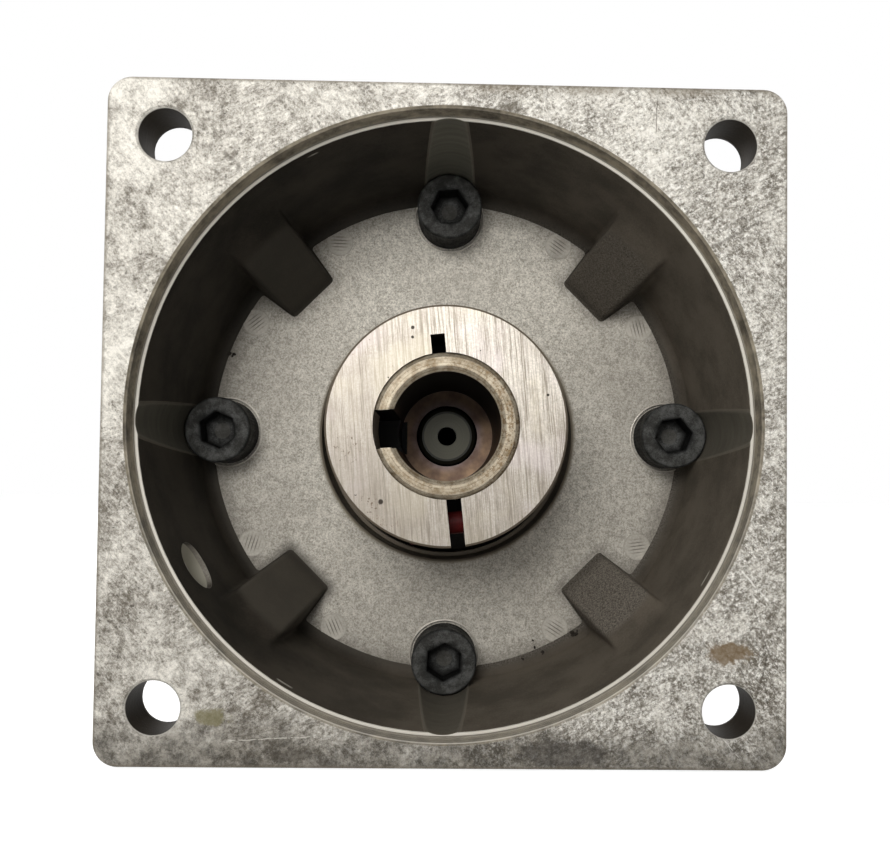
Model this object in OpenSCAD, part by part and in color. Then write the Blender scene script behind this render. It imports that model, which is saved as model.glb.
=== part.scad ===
// Single stage planetary gearbox with a square motor adapter.
// The shaft line is the Y axis, the motor side faces -Y and the output mounting face is y = 0.
// Every piece is drawn along its own axis, with the motor side up, and placed by lay().

/* [Mounting flanges] */
// Width across flats of the two square flanges
frame_w = 140; // [138:1:144]
// Corner radius of the square flanges
frame_corner_r = 5; // [3:0.5:8]
// Distance of a flange bolt hole from the flange's two sides
bolt_inset = 11.664; // [10.9:0.1:12.4]
// Diameter of a flange bolt hole
bolt_hole_d = 11; // [9:0.5:12]
// Diameter of the centring pilot at both flanges
pilot_d = 130; // [128:1:131]
// Thickness of the motor flange
motor_flange_t = 10; // [8:0.5:10.5]
// Thickness of the output flange
output_flange_t = 14; // [11:0.5:18]
// Height of the pilot that stands out of the output flange
output_pilot_h = 3.5; // [2.5:0.5:5]
// Outer diameter of the round housing between the flanges
body_d = 134; // [132:1:136]

/* [Motor adapter] */
// Depth of the machined pilot recess in the motor flange
pilot_depth = 4; // [3:0.5:5]
// Width of the narrow ledge between the pilot recess and the bell
lip_w = 1; // [0.8:0.1:1.4]
// Depth of the bell floor below the motor face
bell_depth = 43.5; // [41:0.5:50]
// Radius that the bell loses between its mouth and its floor
bell_draft = 1.85; // [1:0.05:2]
// Thickness of the bell floor
bell_floor_t = 12; // [10:0.5:15]
// Fillet between the bell wall and its floor
bell_fillet_r = 3; // [2:0.5:4]
// Round opening in the bell floor
floor_opening_d = 64; // [63:0.5:66]
// Distance of the housing's screw circle inside the round housing's surface
screw_inset = 11; // [10.5:0.1:11.5]
// Thread diameter of the adapter screws
adapter_screw_d = 10; // [8:1:10]
// Length of an adapter screw under its head
adapter_screw_l = 50; // [48:1:55]

/* [Ramp bosses] */
// Distance of a ramp's foot from the shaft line
ramp_foot_r = 49.4; // [46:0.1:51]
// Width of a ramp at its foot
ramp_foot_w = 13; // [11:0.2:14]
// Width of a ramp where it meets the bell wall
ramp_top_w = 14.2; // [13:0.2:16]
// Depth below the motor face at which a ramp meets the wall
ramp_top_depth = 15.7; // [14:0.1:20]

/* [Access hole] */
// Diameter of the wrench hole in the bell wall
access_d = 11; // [9:0.5:11]
// Depth of that hole's axis below the motor face
access_depth = 16.3; // [16.2:0.1:18]
// Place of that hole round the bell wall
access_angle = 209.4; // [205:0.1:211]

/* [Input shaft] */
// Diameter of the motor shaft that the hollow shaft takes
motor_shaft_d = 24; // [22:0.5:25]
// Depth of the motor shaft bore
motor_bore_l = 40; // [36:1:42]
// Width of the key slot through the wall of the hollow shaft
key_slot_w = 8.2; // [6:0.2:9]
// Length of the key slot
key_slot_l = 30; // [20:1:34]
// Place of the key slot round the hollow shaft
key_slot_angle = 183.6; // [178:0.1:188]
// Outer diameter of the hollow shaft under the clamp ring
collet_d = 32; // [31:0.5:33]
// Depth of the clamp ring's face below the motor face
hub_depth = 10.5; // [9.5:0.5:13]
// Diameter of the seal journal
seal_journal_d = 42; // [41:0.5:44]
// Diameter of the stepped hole that holds the sun gear's shank
sun_shank_d = 16; // [14.5:0.5:17]

/* [Clamp ring] */
// Outer diameter of the clamp ring
clamp_d = 53; // [51:0.5:55]
// Width of the clamp ring along the shaft
clamp_w = 16; // [14:0.5:18]
// Width of the slit that the clamp screw closes
slit_w = 3.2; // [2.5:0.1:4]
// Width of the relief slot opposite the slit
relief_w = 3.1; // [2.5:0.1:4]
// Depth of the relief slot into the ring's wall
relief_depth = 4.1; // [3:0.1:5]
// Place of the slit round the ring
slit_angle = 276.3; // [270:0.1:280]
// Thread diameter of the clamp screw
clamp_screw_d = 5; // [4:0.5:5]
// Distance of the clamp screw from the shaft line
clamp_screw_r = 21.3; // [20.8:0.1:21.8]

/* [Gear train] */
// Module of all the teeth
gear_module = 1.25; // [1.2:0.01:1.27]
// Teeth on the sun gear
sun_teeth = 18; // [15:3:18]
// Teeth on each planet gear
planet_teeth = 27; // [24:3:27]
// Width of the planet gears
gear_w = 21.6; // [18:0.2:26]
// Play between meshing flanks, along the pitch circle
backlash = 0.12; // [0.08:0.01:0.2]
// Diameter of a planet pin
pin_d = 13; // [12:0.5:14]
// Diameter of the oil hole through a planet pin
pin_oil_hole_d = 3.25; // [2.5:0.25:4]
// Diameter of a needle roller
needle_d = 3; // [2.5:0.1:3]
// Thickness of a thrust washer
washer_t = 1; // [0.8:0.1:1.5]

/* [Output shaft] */
// Diameter of the output shaft
output_shaft_d = 40; // [35:1:45]
// Reach of the output shaft from the mounting face
output_shaft_l = 82; // [76:1:92]
// Width of the output keyway
output_key_w = 12; // [10:1:14]
// Length of the output keyway
output_key_l = 63; // [50:1:66]
// Depth of the output keyway
output_key_depth = 5; // [4:0.5:6]
// Place of the keyway round the output shaft
output_key_angle = 0; // [-10:5:10]
// Drilled diameter of the centre thread in the shaft's end
centre_hole_d = 14; // [12:0.5:16]
// Depth of the centre thread
centre_hole_l = 36; // [30:1:40]

/* [Bearings] */
// Bore of the input bearing
input_bore_d = 40; // [38:0.5:40.5]
// Height of the input bearing from its bore to its outer diameter
input_section = 14; // [13.5:0.5:15]
// Width of the input bearing
input_bearing_w = 15; // [14:0.5:17]
// Bore of the front output bearing
front_bore_d = 55; // [53:0.5:57]
// Height of the front output bearing from its bore to its outer diameter
front_section = 17.5; // [16.5:0.5:18.5]
// Width of the front output bearing
front_bearing_w = 18; // [16:0.5:20]
// Bore of the rear output bearing
rear_bore_d = 65; // [63:0.5:67]
// Height of the rear output bearing from its bore to its outer diameter
rear_section = 17.5; // [17:0.5:18]
// Width of the rear output bearing
rear_bearing_w = 18; // [16:0.5:20]
// Length of the sleeve between the two output bearings
spacer_l = 12; // [10:0.5:20]
// Wall of that sleeve
spacer_t = 4; // [3:0.5:5]

/* [Seals] */
// Outer diameter of the input seal
input_seal_d = 62; // [61:0.5:63]
// Outer diameter of the output seal
output_seal_d = 80; // [76:0.5:82]
// Width of both shaft seals
seal_w = 8; // [7:0.5:10]

/* [Hidden] */
// Overrun of every cut past the surface that it opens
cut = 1;
$fn = 96;

// Diameters that follow from the sizes above
bolt_pcd = (frame_w / 2 - bolt_inset) * 2 * sqrt(2);
adapter_screw_pcd = body_d - 2 * screw_inset;
input_race_d = input_bore_d + 2 * input_section;
front_race_d = front_bore_d + 2 * front_section;
rear_race_d = rear_bore_d + 2 * rear_section;

// Running clearances and seats
turning_gap = 0.05;
seat_gap = 0.02;
thread_gap = 0.05;
bolt_gap = 0.5;
seal_gap = 0.1;
washer_play = 0.2;
carrier_gap = 3;

// Screw proportions, as shares of the thread diameter
head_d_share = 1.6;
head_h_share = 1;
socket_share = 0.8;
socket_depth_share = 0.5;
head_chamfer_share = 0.07;
head_pocket_share = 1.7;

// Stations along the shaft line, counted from the output mounting face towards the motor
seal_recess = 1.5;
circlip_room = 2;
spigot_h = 4;
input_seal_recess = 1;
input_shoulder_t = 1;
circlip_t = 1.75;
circlip_land = 1.6;
carrier_shoulder_t = 3.5;
carrier_front_t = 9;
carrier_rear_t = 8.5;
seal_z = seal_recess - output_pilot_h;
front_z = seal_z + seal_w + circlip_room;
front_end_z = front_z + front_bearing_w;
rear_z = front_end_z + spacer_l;
rear_end_z = rear_z + rear_bearing_w;
housing_end_z = rear_end_z + spigot_h;
carrier_z = rear_end_z + carrier_shoulder_t;
window_z = carrier_z + carrier_front_t;
window_h = gear_w + 2 * (washer_t + washer_play);
window_end_z = window_z + window_h;
carrier_end_z = window_end_z + carrier_rear_t;
plate_spigot_z = carrier_end_z + carrier_gap;
plate_z = plate_spigot_z + spigot_h;
input_bearing_z = plate_spigot_z + circlip_land + circlip_room;
input_shoulder_z = input_bearing_z + input_bearing_w;
input_seal_z = input_shoulder_z + input_shoulder_t;
adapter_z = input_seal_z + seal_w + input_seal_recess;
floor_z = adapter_z + bell_floor_t;
face_z = floor_z + bell_depth;
clamp_end_z = face_z - hub_depth;
clamp_z = clamp_end_z - clamp_w;
hub_proud = 0.3;
hollow_end_z = clamp_end_z + hub_proud;
hollow_z = plate_spigot_z + seat_gap;
bore_bottom_z = hollow_end_z - motor_bore_l;

// Motor adapter, with a bolt hole and a ramp towards each corner
bolt_count = 4;
corner_turn = 180 / bolt_count;
edge_chamfer = 0.6;
hole_chamfer = 0.5;
bell_margin = 0.5;
bell_wall_r = frame_w / 2 - bell_margin;
mouth_r = pilot_d / 2 - lip_w;
bell_floor_r = mouth_r - bell_draft;
spotface_depth = 0.5;
spotface_d = adapter_screw_d * head_pocket_share;
ramp_sink = 2;
outer_fillet_r = 3;

// Gear geometry
pressure_angle = 20;
planet_count = 3;
train_angle = 90;
addendum_share = 1;
dedendum_share = 1.25;
flank_shares = [0, 0.35, 0.7, 1];
tip_relief_share = 0.03;
ring_teeth = sun_teeth + 2 * planet_teeth;
centre_r = gear_module * (sun_teeth + planet_teeth) / 2;
planet_tip_r = gear_module * (planet_teeth / 2 + addendum_share);
ring_root_r = gear_module * (ring_teeth / 2 + dedendum_share);
ring_tip_r = gear_module * (ring_teeth / 2 - addendum_share);
sun_tip_r = gear_module * (sun_teeth / 2 + addendum_share);
sun_root_r = gear_module * (sun_teeth / 2 - dedendum_share);
ring_relief = 0.65;
ring_bore_r = ring_root_r + ring_relief;
ring_tooth_margin = 2;
needle_r = needle_d / 2 - seat_gap;
needle_ring_r = pin_d / 2 + needle_d / 2;
planet_bore_r = pin_d / 2 + needle_d;
needle_fill_share = 0.94;
needle_count = floor(PI * needle_ring_r / (needle_d / 2) * needle_fill_share);
needle_margin = 1.2;
carrier_rim = 1.75;
carrier_r = ring_tip_r - carrier_rim;
planet_room = 1;
sun_room = 2;
sun_play = 0.8;

// Fasteners of the housing, the covers' screws halfway between those of the adapter
adapter_screw_count = 4;
housing_screw_d = 8;
housing_screw_l = 56;
housing_screw_count = 8;
housing_screw_turn = 180 / housing_screw_count;
plate_screw_d = 6;
plate_screw_l = 30;
cover_screw_count = 4;
cover_screw_turn = 180 / cover_screw_count;
plug_d = 12;
plug_l = 12;
plug_head_d = 18;
plug_head_h = 3;

// Ball bearing proportions, as shares of the section between bore and outer diameter
ball_share = 0.285;
land_share = 0.55;
cage_share = 0.3;
cage_wall_share = 0.22;
ball_pitch_share = 1.5;
race_chamfer = 1;
cage_gap = 0.12;

// O-rings
o_ring_r = 0.9;
o_groove_d = 1.82;
o_groove_w = 2.4;

// Circlips
circlip_band = 3;
circlip_bite = 1.2;
circlip_eye_r = 2;
circlip_hole_r = 0.9;
circlip_gap_angle = 20;

// Radius line that turns about the shaft line
function polar(r, a) = [r * cos(a), r * sin(a)];

// Angle in degrees that an involute has unrolled at a pressure angle
function involute_deg(a) = tan(a) * 180 / PI - a;

// Half the angle of a tooth at radius r, less a slack given along the pitch circle
function tooth_half(r, teeth, slack) =
    let (pitch_r = gear_module * teeth / 2, base_r = pitch_r * cos(pressure_angle))
    90 / teeth + involute_deg(pressure_angle) - involute_deg(acos(min(1, base_r / r)))
    - slack / pitch_r * 180 / PI;

// One tooth from its root on one side to its root on the other, around direction a
function tooth_points(a, teeth, root_r, tip_r, slack) =
    let (
        start_r = max(root_r, gear_module * teeth / 2 * cos(pressure_angle)),
        radii = [for (s = flank_shares) start_r + (tip_r - start_r) * s],
        halves = [for (r = radii) tooth_half(r, teeth, slack)],
        last = len(radii) - 1
    )
    concat(
        [polar(root_r, a - halves[0])],
        [for (i = [0:last]) if (radii[i] > root_r) polar(radii[i], a - halves[i])],
        [for (i = [last:-1:0]) if (radii[i] > root_r) polar(radii[i], a + halves[i])],
        [polar(root_r, a + halves[0])]
    );

// Outline of a whole gear
function gear_points(teeth, root_r, tip_r, slack) =
    [for (t = [0:teeth - 1]) each tooth_points(t * 360 / teeth, teeth, root_r, tip_r, slack)];

// Lays the shaft line along Y, with the motor side towards -Y
module lay() {
    rotate([90, 0, 0]) children();
}

module disc(r, z0, z1) {
    translate([0, 0, z0]) cylinder(r = r, h = z1 - z0);
}

module tube(r_out, r_in, z0, z1) {
    difference() {
        disc(r_out, z0, z1);
        disc(r_in, z0 - cut, z1 + cut);
    }
}

module cone(r0, r1, z0, z1) {
    translate([0, 0, z0]) cylinder(r1 = r0, r2 = r1, h = z1 - z0);
}

// Copies of the children round a pitch circle
module round_the_circle(count, r, first = 0) {
    for (i = [0:count - 1])
        rotate([0, 0, first + i * 360 / count]) translate([r, 0, 0]) children();
}

// Square plate with round corners
module square_plate(w, corner_r, z0, z1) {
    side = w - 2 * corner_r;
    translate([0, 0, z0]) linear_extrude(z1 - z0) union() {
        square([w, side], center = true);
        square([side, w], center = true);
        for (x = [-1, 1]) for (y = [-1, 1])
            translate([x * side / 2, y * side / 2]) circle(r = corner_r);
    }
}

// Socket head screw with its head seat at z = 0 and its shank below
module socket_screw(d, l) {
    head_r = d * head_d_share / 2;
    head_h = d * head_h_share;
    bevel = d * head_chamfer_share;
    socket_r = d * socket_share / 2 / cos(30);
    socket_floor = head_h - d * socket_depth_share;
    difference() {
        union() {
            disc(head_r, 0, head_h - bevel);
            cone(head_r, head_r - bevel, head_h - bevel, head_h);
            disc(d / 2, bevel - l, bevel);
            cone(d / 2 - bevel, d / 2, -l, bevel - l);
        }
        translate([0, 0, socket_floor]) cylinder(r = socket_r, h = head_h, $fn = 6);
        cone(0, socket_r * cos(30) * socket_share, socket_floor - bevel - bevel, socket_floor + seat_gap);
    }
}

// Room for such a screw: its clearance hole and its head pocket
module screw_room(d, l, hole_r, pocket_h) {
    disc(hole_r, -l, cut);
    disc(d * head_pocket_share / 2, 0, pocket_h);
}

function section(bore_d, race_d) = (race_d - bore_d) / 2;
function ball_r(bore_d, race_d) = section(bore_d, race_d) * ball_share;
function pitch_r(bore_d, race_d) = (bore_d + race_d) / 4;
function ball_count(bore_d, race_d) =
    floor(PI * pitch_r(bore_d, race_d) / (ball_r(bore_d, race_d) * ball_pitch_share));

// Ring of a race's section, with its outer corners broken
module race_ring(r_in, r_out, z0, w, outside) {
    back_r = outside ? r_out : r_in;
    side = outside ? -1 : 1;
    land_r = outside ? r_in : r_out;
    translate([0, 0, z0]) rotate_extrude() polygon([
        [land_r, 0], [land_r, w],
        [back_r + side * race_chamfer, w], [back_r, w - race_chamfer],
        [back_r, race_chamfer], [back_r + side * race_chamfer, 0]
    ]);
}

module ball_groove(bore_d, race_d, z0, w) {
    translate([0, 0, z0 + w / 2]) rotate_extrude()
        translate([pitch_r(bore_d, race_d), 0]) circle(r = ball_r(bore_d, race_d) + turning_gap);
}

module inner_race(bore_d, race_d, z0, w) {
    land_r = pitch_r(bore_d, race_d) - ball_r(bore_d, race_d) * land_share;
    color("silver") difference() {
        race_ring(bore_d / 2 + seat_gap, land_r, z0, w, false);
        ball_groove(bore_d, race_d, z0, w);
    }
}

module outer_race(bore_d, race_d, z0, w) {
    land_r = pitch_r(bore_d, race_d) + ball_r(bore_d, race_d) * land_share;
    color("silver") difference() {
        race_ring(land_r, race_d / 2 - seat_gap, z0, w, true);
        ball_groove(bore_d, race_d, z0, w);
    }
}

module balls(bore_d, race_d, z0, w) {
    color("gainsboro") translate([0, 0, z0 + w / 2])
        round_the_circle(ball_count(bore_d, race_d), pitch_r(bore_d, race_d))
            sphere(r = ball_r(bore_d, race_d));
}

module cage(bore_d, race_d, z0, w) {
    r = ball_r(bore_d, race_d);
    half_t = r * cage_share;
    half_w = r * (1 + cage_wall_share);
    middle = pitch_r(bore_d, race_d);
    color("peru") translate([0, 0, z0 + w / 2]) difference() {
        tube(middle + half_t, middle - half_t, -half_w, half_w);
        round_the_circle(ball_count(bore_d, race_d), middle) rotate([0, 90, 0])
            disc(r + cage_gap, -r, r);
    }
}

// Open retaining ring between two radii, with an eye at each end
module circlip(r_in, r_out, eye_r, z0) {
    reach = r_out + r_in;
    eye_angle = circlip_gap_angle / 2 + atan(circlip_eye_r / eye_r);
    color("dimgray") difference() {
        union() {
            tube(r_out, r_in, z0, z0 + circlip_t);
            for (a = [-eye_angle, eye_angle]) rotate([0, 0, a])
                translate([eye_r, 0, 0]) disc(circlip_eye_r, z0, z0 + circlip_t);
        }
        translate([0, 0, z0 - cut]) linear_extrude(circlip_t + 2 * cut) polygon([
            [0, 0], polar(reach, -circlip_gap_angle / 2), polar(reach, circlip_gap_angle / 2)
        ]);
        for (a = [-eye_angle, eye_angle]) rotate([0, 0, a])
            translate([eye_r, 0, 0]) disc(circlip_hole_r, z0 - cut, z0 + circlip_t + cut);
    }
}

// Shaft seal: steel case, rubber body and one lip on the shaft
module shaft_seal(journal_d, seat_d, z0, lip_up) {
    lip_share = 0.35;
    wall_share = 0.18;
    throat_share = 0.55;
    seal_r = seat_d / 2 - seat_gap;
    lip_r = journal_d / 2 + seal_gap;
    band = seal_r - lip_r;
    throat_r = lip_r + band * lip_share;
    flip = lip_up ? 0 : 1;
    color([0.12, 0.12, 0.12]) translate([0, 0, z0 + flip * seal_w]) mirror([0, 0, flip])
        rotate_extrude() polygon([
            [seal_r, 0], [seal_r, seal_w], [seal_r - band * wall_share, seal_w],
            [seal_r - band * wall_share, seal_w * wall_share],
            [throat_r, seal_w * wall_share], [lip_r + band * wall_share, seal_w * throat_share],
            [lip_r, seal_w * throat_share], [lip_r + band * wall_share, 0]
        ]);
}

// A ramp boss: a wedge that widens towards the wall and climbs it
module ramp() {
    wall_r = bell_wall_r - ramp_sink;
    climb = (face_z - ramp_top_depth - floor_z) / (mouth_r - ramp_foot_r);
    widen = (ramp_top_w - ramp_foot_w) / 2 / (mouth_r - ramp_foot_r);
    far_half_w = ramp_foot_w / 2 + widen * (wall_r - ramp_foot_r);
    intersection() {
        rotate([90, 0, 0]) translate([0, 0, -ramp_top_w]) linear_extrude(2 * ramp_top_w) polygon([
            [ramp_foot_r, floor_z - ramp_sink], [ramp_foot_r, floor_z],
            [wall_r, floor_z + climb * (wall_r - ramp_foot_r)], [wall_r, floor_z - ramp_sink]
        ]);
        translate([0, 0, floor_z - ramp_sink]) linear_extrude(bell_depth + ramp_sink) polygon([
            [ramp_foot_r - ramp_sink, -ramp_foot_w / 2], [ramp_foot_r, -ramp_foot_w / 2],
            [wall_r, -far_half_w], [wall_r, far_half_w],
            [ramp_foot_r, ramp_foot_w / 2], [ramp_foot_r - ramp_sink, ramp_foot_w / 2]
        ]);
        disc(bell_wall_r - ramp_sink, 0, face_z);
    }
}

// Place of the clamp screw's head seat, in the plane of the adapter face, and its length past the slit
clamp_thread_l = 2 * clamp_screw_d;
clamp_head_seat = slit_w / 2 + clamp_screw_d * socket_share;
clamp_screw_z = face_z - access_depth - hole_chamfer;
clamp_foot = polar(clamp_screw_r, slit_angle);
clamp_head = clamp_foot - polar(clamp_head_seat, slit_angle + 90);
access_mouth = polar(mouth_r, access_angle);
access_turn = atan2(clamp_head[1] - access_mouth[1], clamp_head[0] - access_mouth[0]);

// The bell's inside: pilot recess, ledge, drafted wall and filleted floor
module bell_space() {
    steps = 6;
    rotate_extrude() polygon(concat(
        [[0, face_z + cut], [0, floor_z], [bell_floor_r - bell_fillet_r, floor_z]],
        [for (i = [1:steps - 1]) [
            bell_floor_r - bell_fillet_r + bell_fillet_r * sin(i * 90 / steps),
            floor_z + bell_fillet_r - bell_fillet_r * cos(i * 90 / steps)
        ]],
        [
            [bell_floor_r, floor_z + bell_fillet_r], [mouth_r, face_z - pilot_depth],
            [pilot_d / 2, face_z - pilot_depth], [pilot_d / 2, face_z - hole_chamfer],
            [pilot_d / 2 + hole_chamfer, face_z], [pilot_d / 2 + hole_chamfer, face_z + cut]
        ]
    ));
}

// Outside of the bell: a drafted round body with a fillet under the flange
module bell_body() {
    back_z = face_z - motor_flange_t;
    cone(body_d / 2, bell_wall_r, adapter_z, back_z - outer_fillet_r);
    disc(bell_wall_r, back_z - outer_fillet_r, back_z + outer_fillet_r);
}

module flange_holes(z0, z1) {
    round_the_circle(bolt_count, bolt_pcd / 2, corner_turn) {
        disc(bolt_hole_d / 2, z0 - cut, z1 + cut);
        cone(bolt_hole_d / 2, bolt_hole_d / 2 + hole_chamfer, z1 - hole_chamfer, z1);
        cone(bolt_hole_d / 2 + hole_chamfer, bolt_hole_d / 2, z0, z0 + hole_chamfer);
    }
}

module motor_adapter() {
    color([0.66, 0.65, 0.63]) lay() difference() {
        union() {
            difference() {
                union() {
                    square_plate(frame_w, frame_corner_r, face_z - motor_flange_t, face_z);
                    bell_body();
                }
                bell_space();
            }
            for (i = [0:bolt_count - 1]) rotate([0, 0, corner_turn + i * 360 / bolt_count]) ramp();
        }
        disc(floor_opening_d / 2, adapter_z - cut, face_z);
        cone(floor_opening_d / 2, floor_opening_d / 2 + hole_chamfer, floor_z - hole_chamfer, floor_z);
        flange_holes(face_z - motor_flange_t, face_z);
        round_the_circle(adapter_screw_count, adapter_screw_pcd / 2) translate([0, 0, floor_z - spotface_depth])
            screw_room(adapter_screw_d, bell_floor_t + cut, adapter_screw_d / 2 + bolt_gap, bell_depth);
        translate([access_mouth[0], access_mouth[1], face_z - access_depth])
            rotate([0, 0, access_turn]) rotate([0, 90, 0])
                disc(access_d / 2, -ramp_foot_w, ramp_foot_w);
    }
}

module adapter_screws() {
    color([0.1, 0.1, 0.11]) lay() round_the_circle(adapter_screw_count, adapter_screw_pcd / 2)
        translate([0, 0, floor_z - spotface_depth]) socket_screw(adapter_screw_d, adapter_screw_l);
}

// Groove for an O-ring in the outside of a spigot
module o_groove(r, z) {
    tube(r + cut, r - o_groove_d, z - o_groove_w / 2, z + o_groove_w / 2);
}

module o_ring(r, z) {
    color([0.13, 0.13, 0.13]) translate([0, 0, z]) rotate_extrude()
        translate([r - o_groove_d + o_ring_r, 0]) circle(r = o_ring_r);
}

module input_plate() {
    spigot_r = ring_bore_r - turning_gap;
    color([0.55, 0.56, 0.57]) lay() difference() {
        union() {
            disc(body_d / 2 - edge_chamfer, plate_z, adapter_z);
            disc(spigot_r, plate_spigot_z, plate_z);
        }
        o_groove(spigot_r, plate_z - spigot_h / 2);
        disc(input_race_d / 2, plate_spigot_z - cut, input_shoulder_z);
        disc(input_seal_d / 2 - circlip_bite, input_shoulder_z - cut, adapter_z + cut);
        disc(input_seal_d / 2, input_seal_z, adapter_z + cut);
        disc(input_race_d / 2 + circlip_bite, input_bearing_z - circlip_room, input_bearing_z);
        round_the_circle(adapter_screw_count, adapter_screw_pcd / 2)
            disc(adapter_screw_d / 2 + bolt_gap, plate_z - cut, adapter_z + cut);
        round_the_circle(cover_screw_count, adapter_screw_pcd / 2, cover_screw_turn)
            translate([0, 0, adapter_z - plate_screw_d * head_h_share - seat_gap])
                screw_room(plate_screw_d, plate_screw_l, plate_screw_d / 2 + bolt_gap, face_z);
    }
}

module plate_screws() {
    color([0.1, 0.1, 0.11]) lay() round_the_circle(cover_screw_count, adapter_screw_pcd / 2, cover_screw_turn)
        translate([0, 0, adapter_z - plate_screw_d * head_h_share - seat_gap])
            socket_screw(plate_screw_d, plate_screw_l);
}

module input_seal() {
    lay() shaft_seal(seal_journal_d, input_seal_d, input_seal_z, false);
}

module input_race_circlip() {
    lay() circlip(input_race_d / 2 - circlip_band, input_race_d / 2 + circlip_bite - turning_gap,
        input_race_d / 2 - circlip_band, input_bearing_z - circlip_t);
}

module input_outer_race() {
    lay() outer_race(input_bore_d, input_race_d, input_bearing_z, input_bearing_w);
}

module input_inner_race() {
    lay() inner_race(input_bore_d, input_race_d, input_bearing_z, input_bearing_w);
}

module input_balls() {
    lay() balls(input_bore_d, input_race_d, input_bearing_z, input_bearing_w);
}

module input_cage() {
    lay() cage(input_bore_d, input_race_d, input_bearing_z, input_bearing_w);
}

module input_o_ring() {
    lay() o_ring(ring_bore_r - turning_gap, plate_z - spigot_h / 2);
}

// Round housing with the internal teeth cut into its bore
module ring_gear() {
    teeth_z = window_z - ring_tooth_margin;
    teeth_end_z = window_end_z + ring_tooth_margin;
    waist = 1;
    rim_h = 6;
    color([0.5, 0.5, 0.52]) lay() difference() {
        union() {
            disc(body_d / 2, housing_end_z, housing_end_z + rim_h);
            disc(body_d / 2 - waist, housing_end_z + rim_h - cut, plate_z - rim_h + cut);
            disc(body_d / 2, plate_z - rim_h, plate_z);
            disc(rear_race_d / 2 - turning_gap, rear_end_z, housing_end_z);
        }
        o_groove(rear_race_d / 2 - turning_gap, housing_end_z - spigot_h / 2);
        disc(ring_bore_r, rear_end_z - cut, teeth_z);
        disc(ring_bore_r, teeth_end_z, plate_z + cut);
        translate([0, 0, teeth_z - cut]) linear_extrude(teeth_end_z - teeth_z + 2 * cut)
            rotate(train_angle) polygon(gear_points(ring_teeth, ring_tip_r, ring_root_r, -backlash / 2));
        round_the_circle(adapter_screw_count, adapter_screw_pcd / 2)
            disc(adapter_screw_d / 2 + thread_gap,
                floor_z - spotface_depth - adapter_screw_l - edge_chamfer, plate_z + cut);
        round_the_circle(cover_screw_count, adapter_screw_pcd / 2, cover_screw_turn)
            disc(plate_screw_d / 2 + thread_gap,
                adapter_z - plate_screw_d - plate_screw_l - edge_chamfer, plate_z + cut);
        round_the_circle(housing_screw_count, adapter_screw_pcd / 2, housing_screw_turn)
            translate([0, 0, plate_z - housing_screw_d * head_h_share - seat_gap])
                screw_room(housing_screw_d, housing_screw_l, housing_screw_d / 2 + bolt_gap, body_d);
    }
}

module housing_screws() {
    color([0.1, 0.1, 0.11]) lay() round_the_circle(housing_screw_count, adapter_screw_pcd / 2, housing_screw_turn)
        translate([0, 0, plate_z - housing_screw_d * head_h_share - seat_gap])
            socket_screw(housing_screw_d, housing_screw_l);
}

module output_o_ring() {
    lay() o_ring(rear_race_d / 2 - turning_gap, housing_end_z - spigot_h / 2);
}

// Where the two oil plugs sit, between the output bearings
module plug_places() {
    for (a = [0, 180]) rotate([0, 0, a]) translate([0, 0, front_end_z + spacer_l / 2])
        rotate([0, 90, 0]) children();
}

module output_housing() {
    seat_r = body_d / 2 - plug_head_h;
    color([0.62, 0.62, 0.61]) lay() difference() {
        union() {
            square_plate(frame_w, frame_corner_r, 0, output_flange_t);
            disc(body_d / 2, output_flange_t - cut, housing_end_z);
            disc(bell_wall_r, output_flange_t - cut, output_flange_t + outer_fillet_r);
            cone(bell_wall_r, body_d / 2, output_flange_t + outer_fillet_r,
                output_flange_t + outer_fillet_r + bell_wall_r - body_d / 2);
            disc(pilot_d / 2, edge_chamfer - output_pilot_h, cut);
            cone(pilot_d / 2 - edge_chamfer, pilot_d / 2, -output_pilot_h, edge_chamfer - output_pilot_h);
        }
        disc(output_seal_d / 2, -output_pilot_h - cut, front_z + cut);
        disc(front_race_d / 2, front_z, rear_z + cut);
        disc(front_race_d / 2 + circlip_bite, front_end_z, front_end_z + circlip_room);
        disc(rear_race_d / 2, rear_z, housing_end_z + cut);
        flange_holes(0, output_flange_t);
        round_the_circle(housing_screw_count, adapter_screw_pcd / 2, housing_screw_turn)
            disc(housing_screw_d / 2 + thread_gap,
                plate_z - housing_screw_d - housing_screw_l - edge_chamfer, housing_end_z + cut);
        plug_places() {
            disc(plug_d / 2 + thread_gap, front_race_d / 2 - cut, body_d);
            disc(plug_head_d / 2 + bolt_gap, seat_r, body_d);
        }
    }
}

module oil_plugs() {
    seat_r = body_d / 2 - plug_head_h;
    color([0.2, 0.2, 0.21]) lay() plug_places() difference() {
        union() {
            disc(plug_d / 2, seat_r - plug_l, seat_r + cut);
            disc(plug_head_d / 2, seat_r, seat_r + plug_head_h - edge_chamfer);
            cone(plug_head_d / 2, plug_head_d / 2 - edge_chamfer,
                seat_r + plug_head_h - edge_chamfer, seat_r + plug_head_h);
        }
        translate([0, 0, seat_r - plug_head_h])
            cylinder(r = plug_head_h / cos(30), h = 2 * plug_head_h + cut, $fn = 6);
    }
}

module output_seal() {
    lay() shaft_seal(front_bore_d, output_seal_d, seal_z, true);
}

module front_outer_race() {
    lay() outer_race(front_bore_d, front_race_d, front_z, front_bearing_w);
}

module front_inner_race() {
    lay() inner_race(front_bore_d, front_race_d, front_z, front_bearing_w);
}

module front_balls() {
    lay() balls(front_bore_d, front_race_d, front_z, front_bearing_w);
}

module front_cage() {
    lay() cage(front_bore_d, front_race_d, front_z, front_bearing_w);
}

module front_race_circlip() {
    lay() circlip(front_race_d / 2 - circlip_band, front_race_d / 2 + circlip_bite - turning_gap,
        front_race_d / 2 - circlip_band, front_end_z);
}

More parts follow.
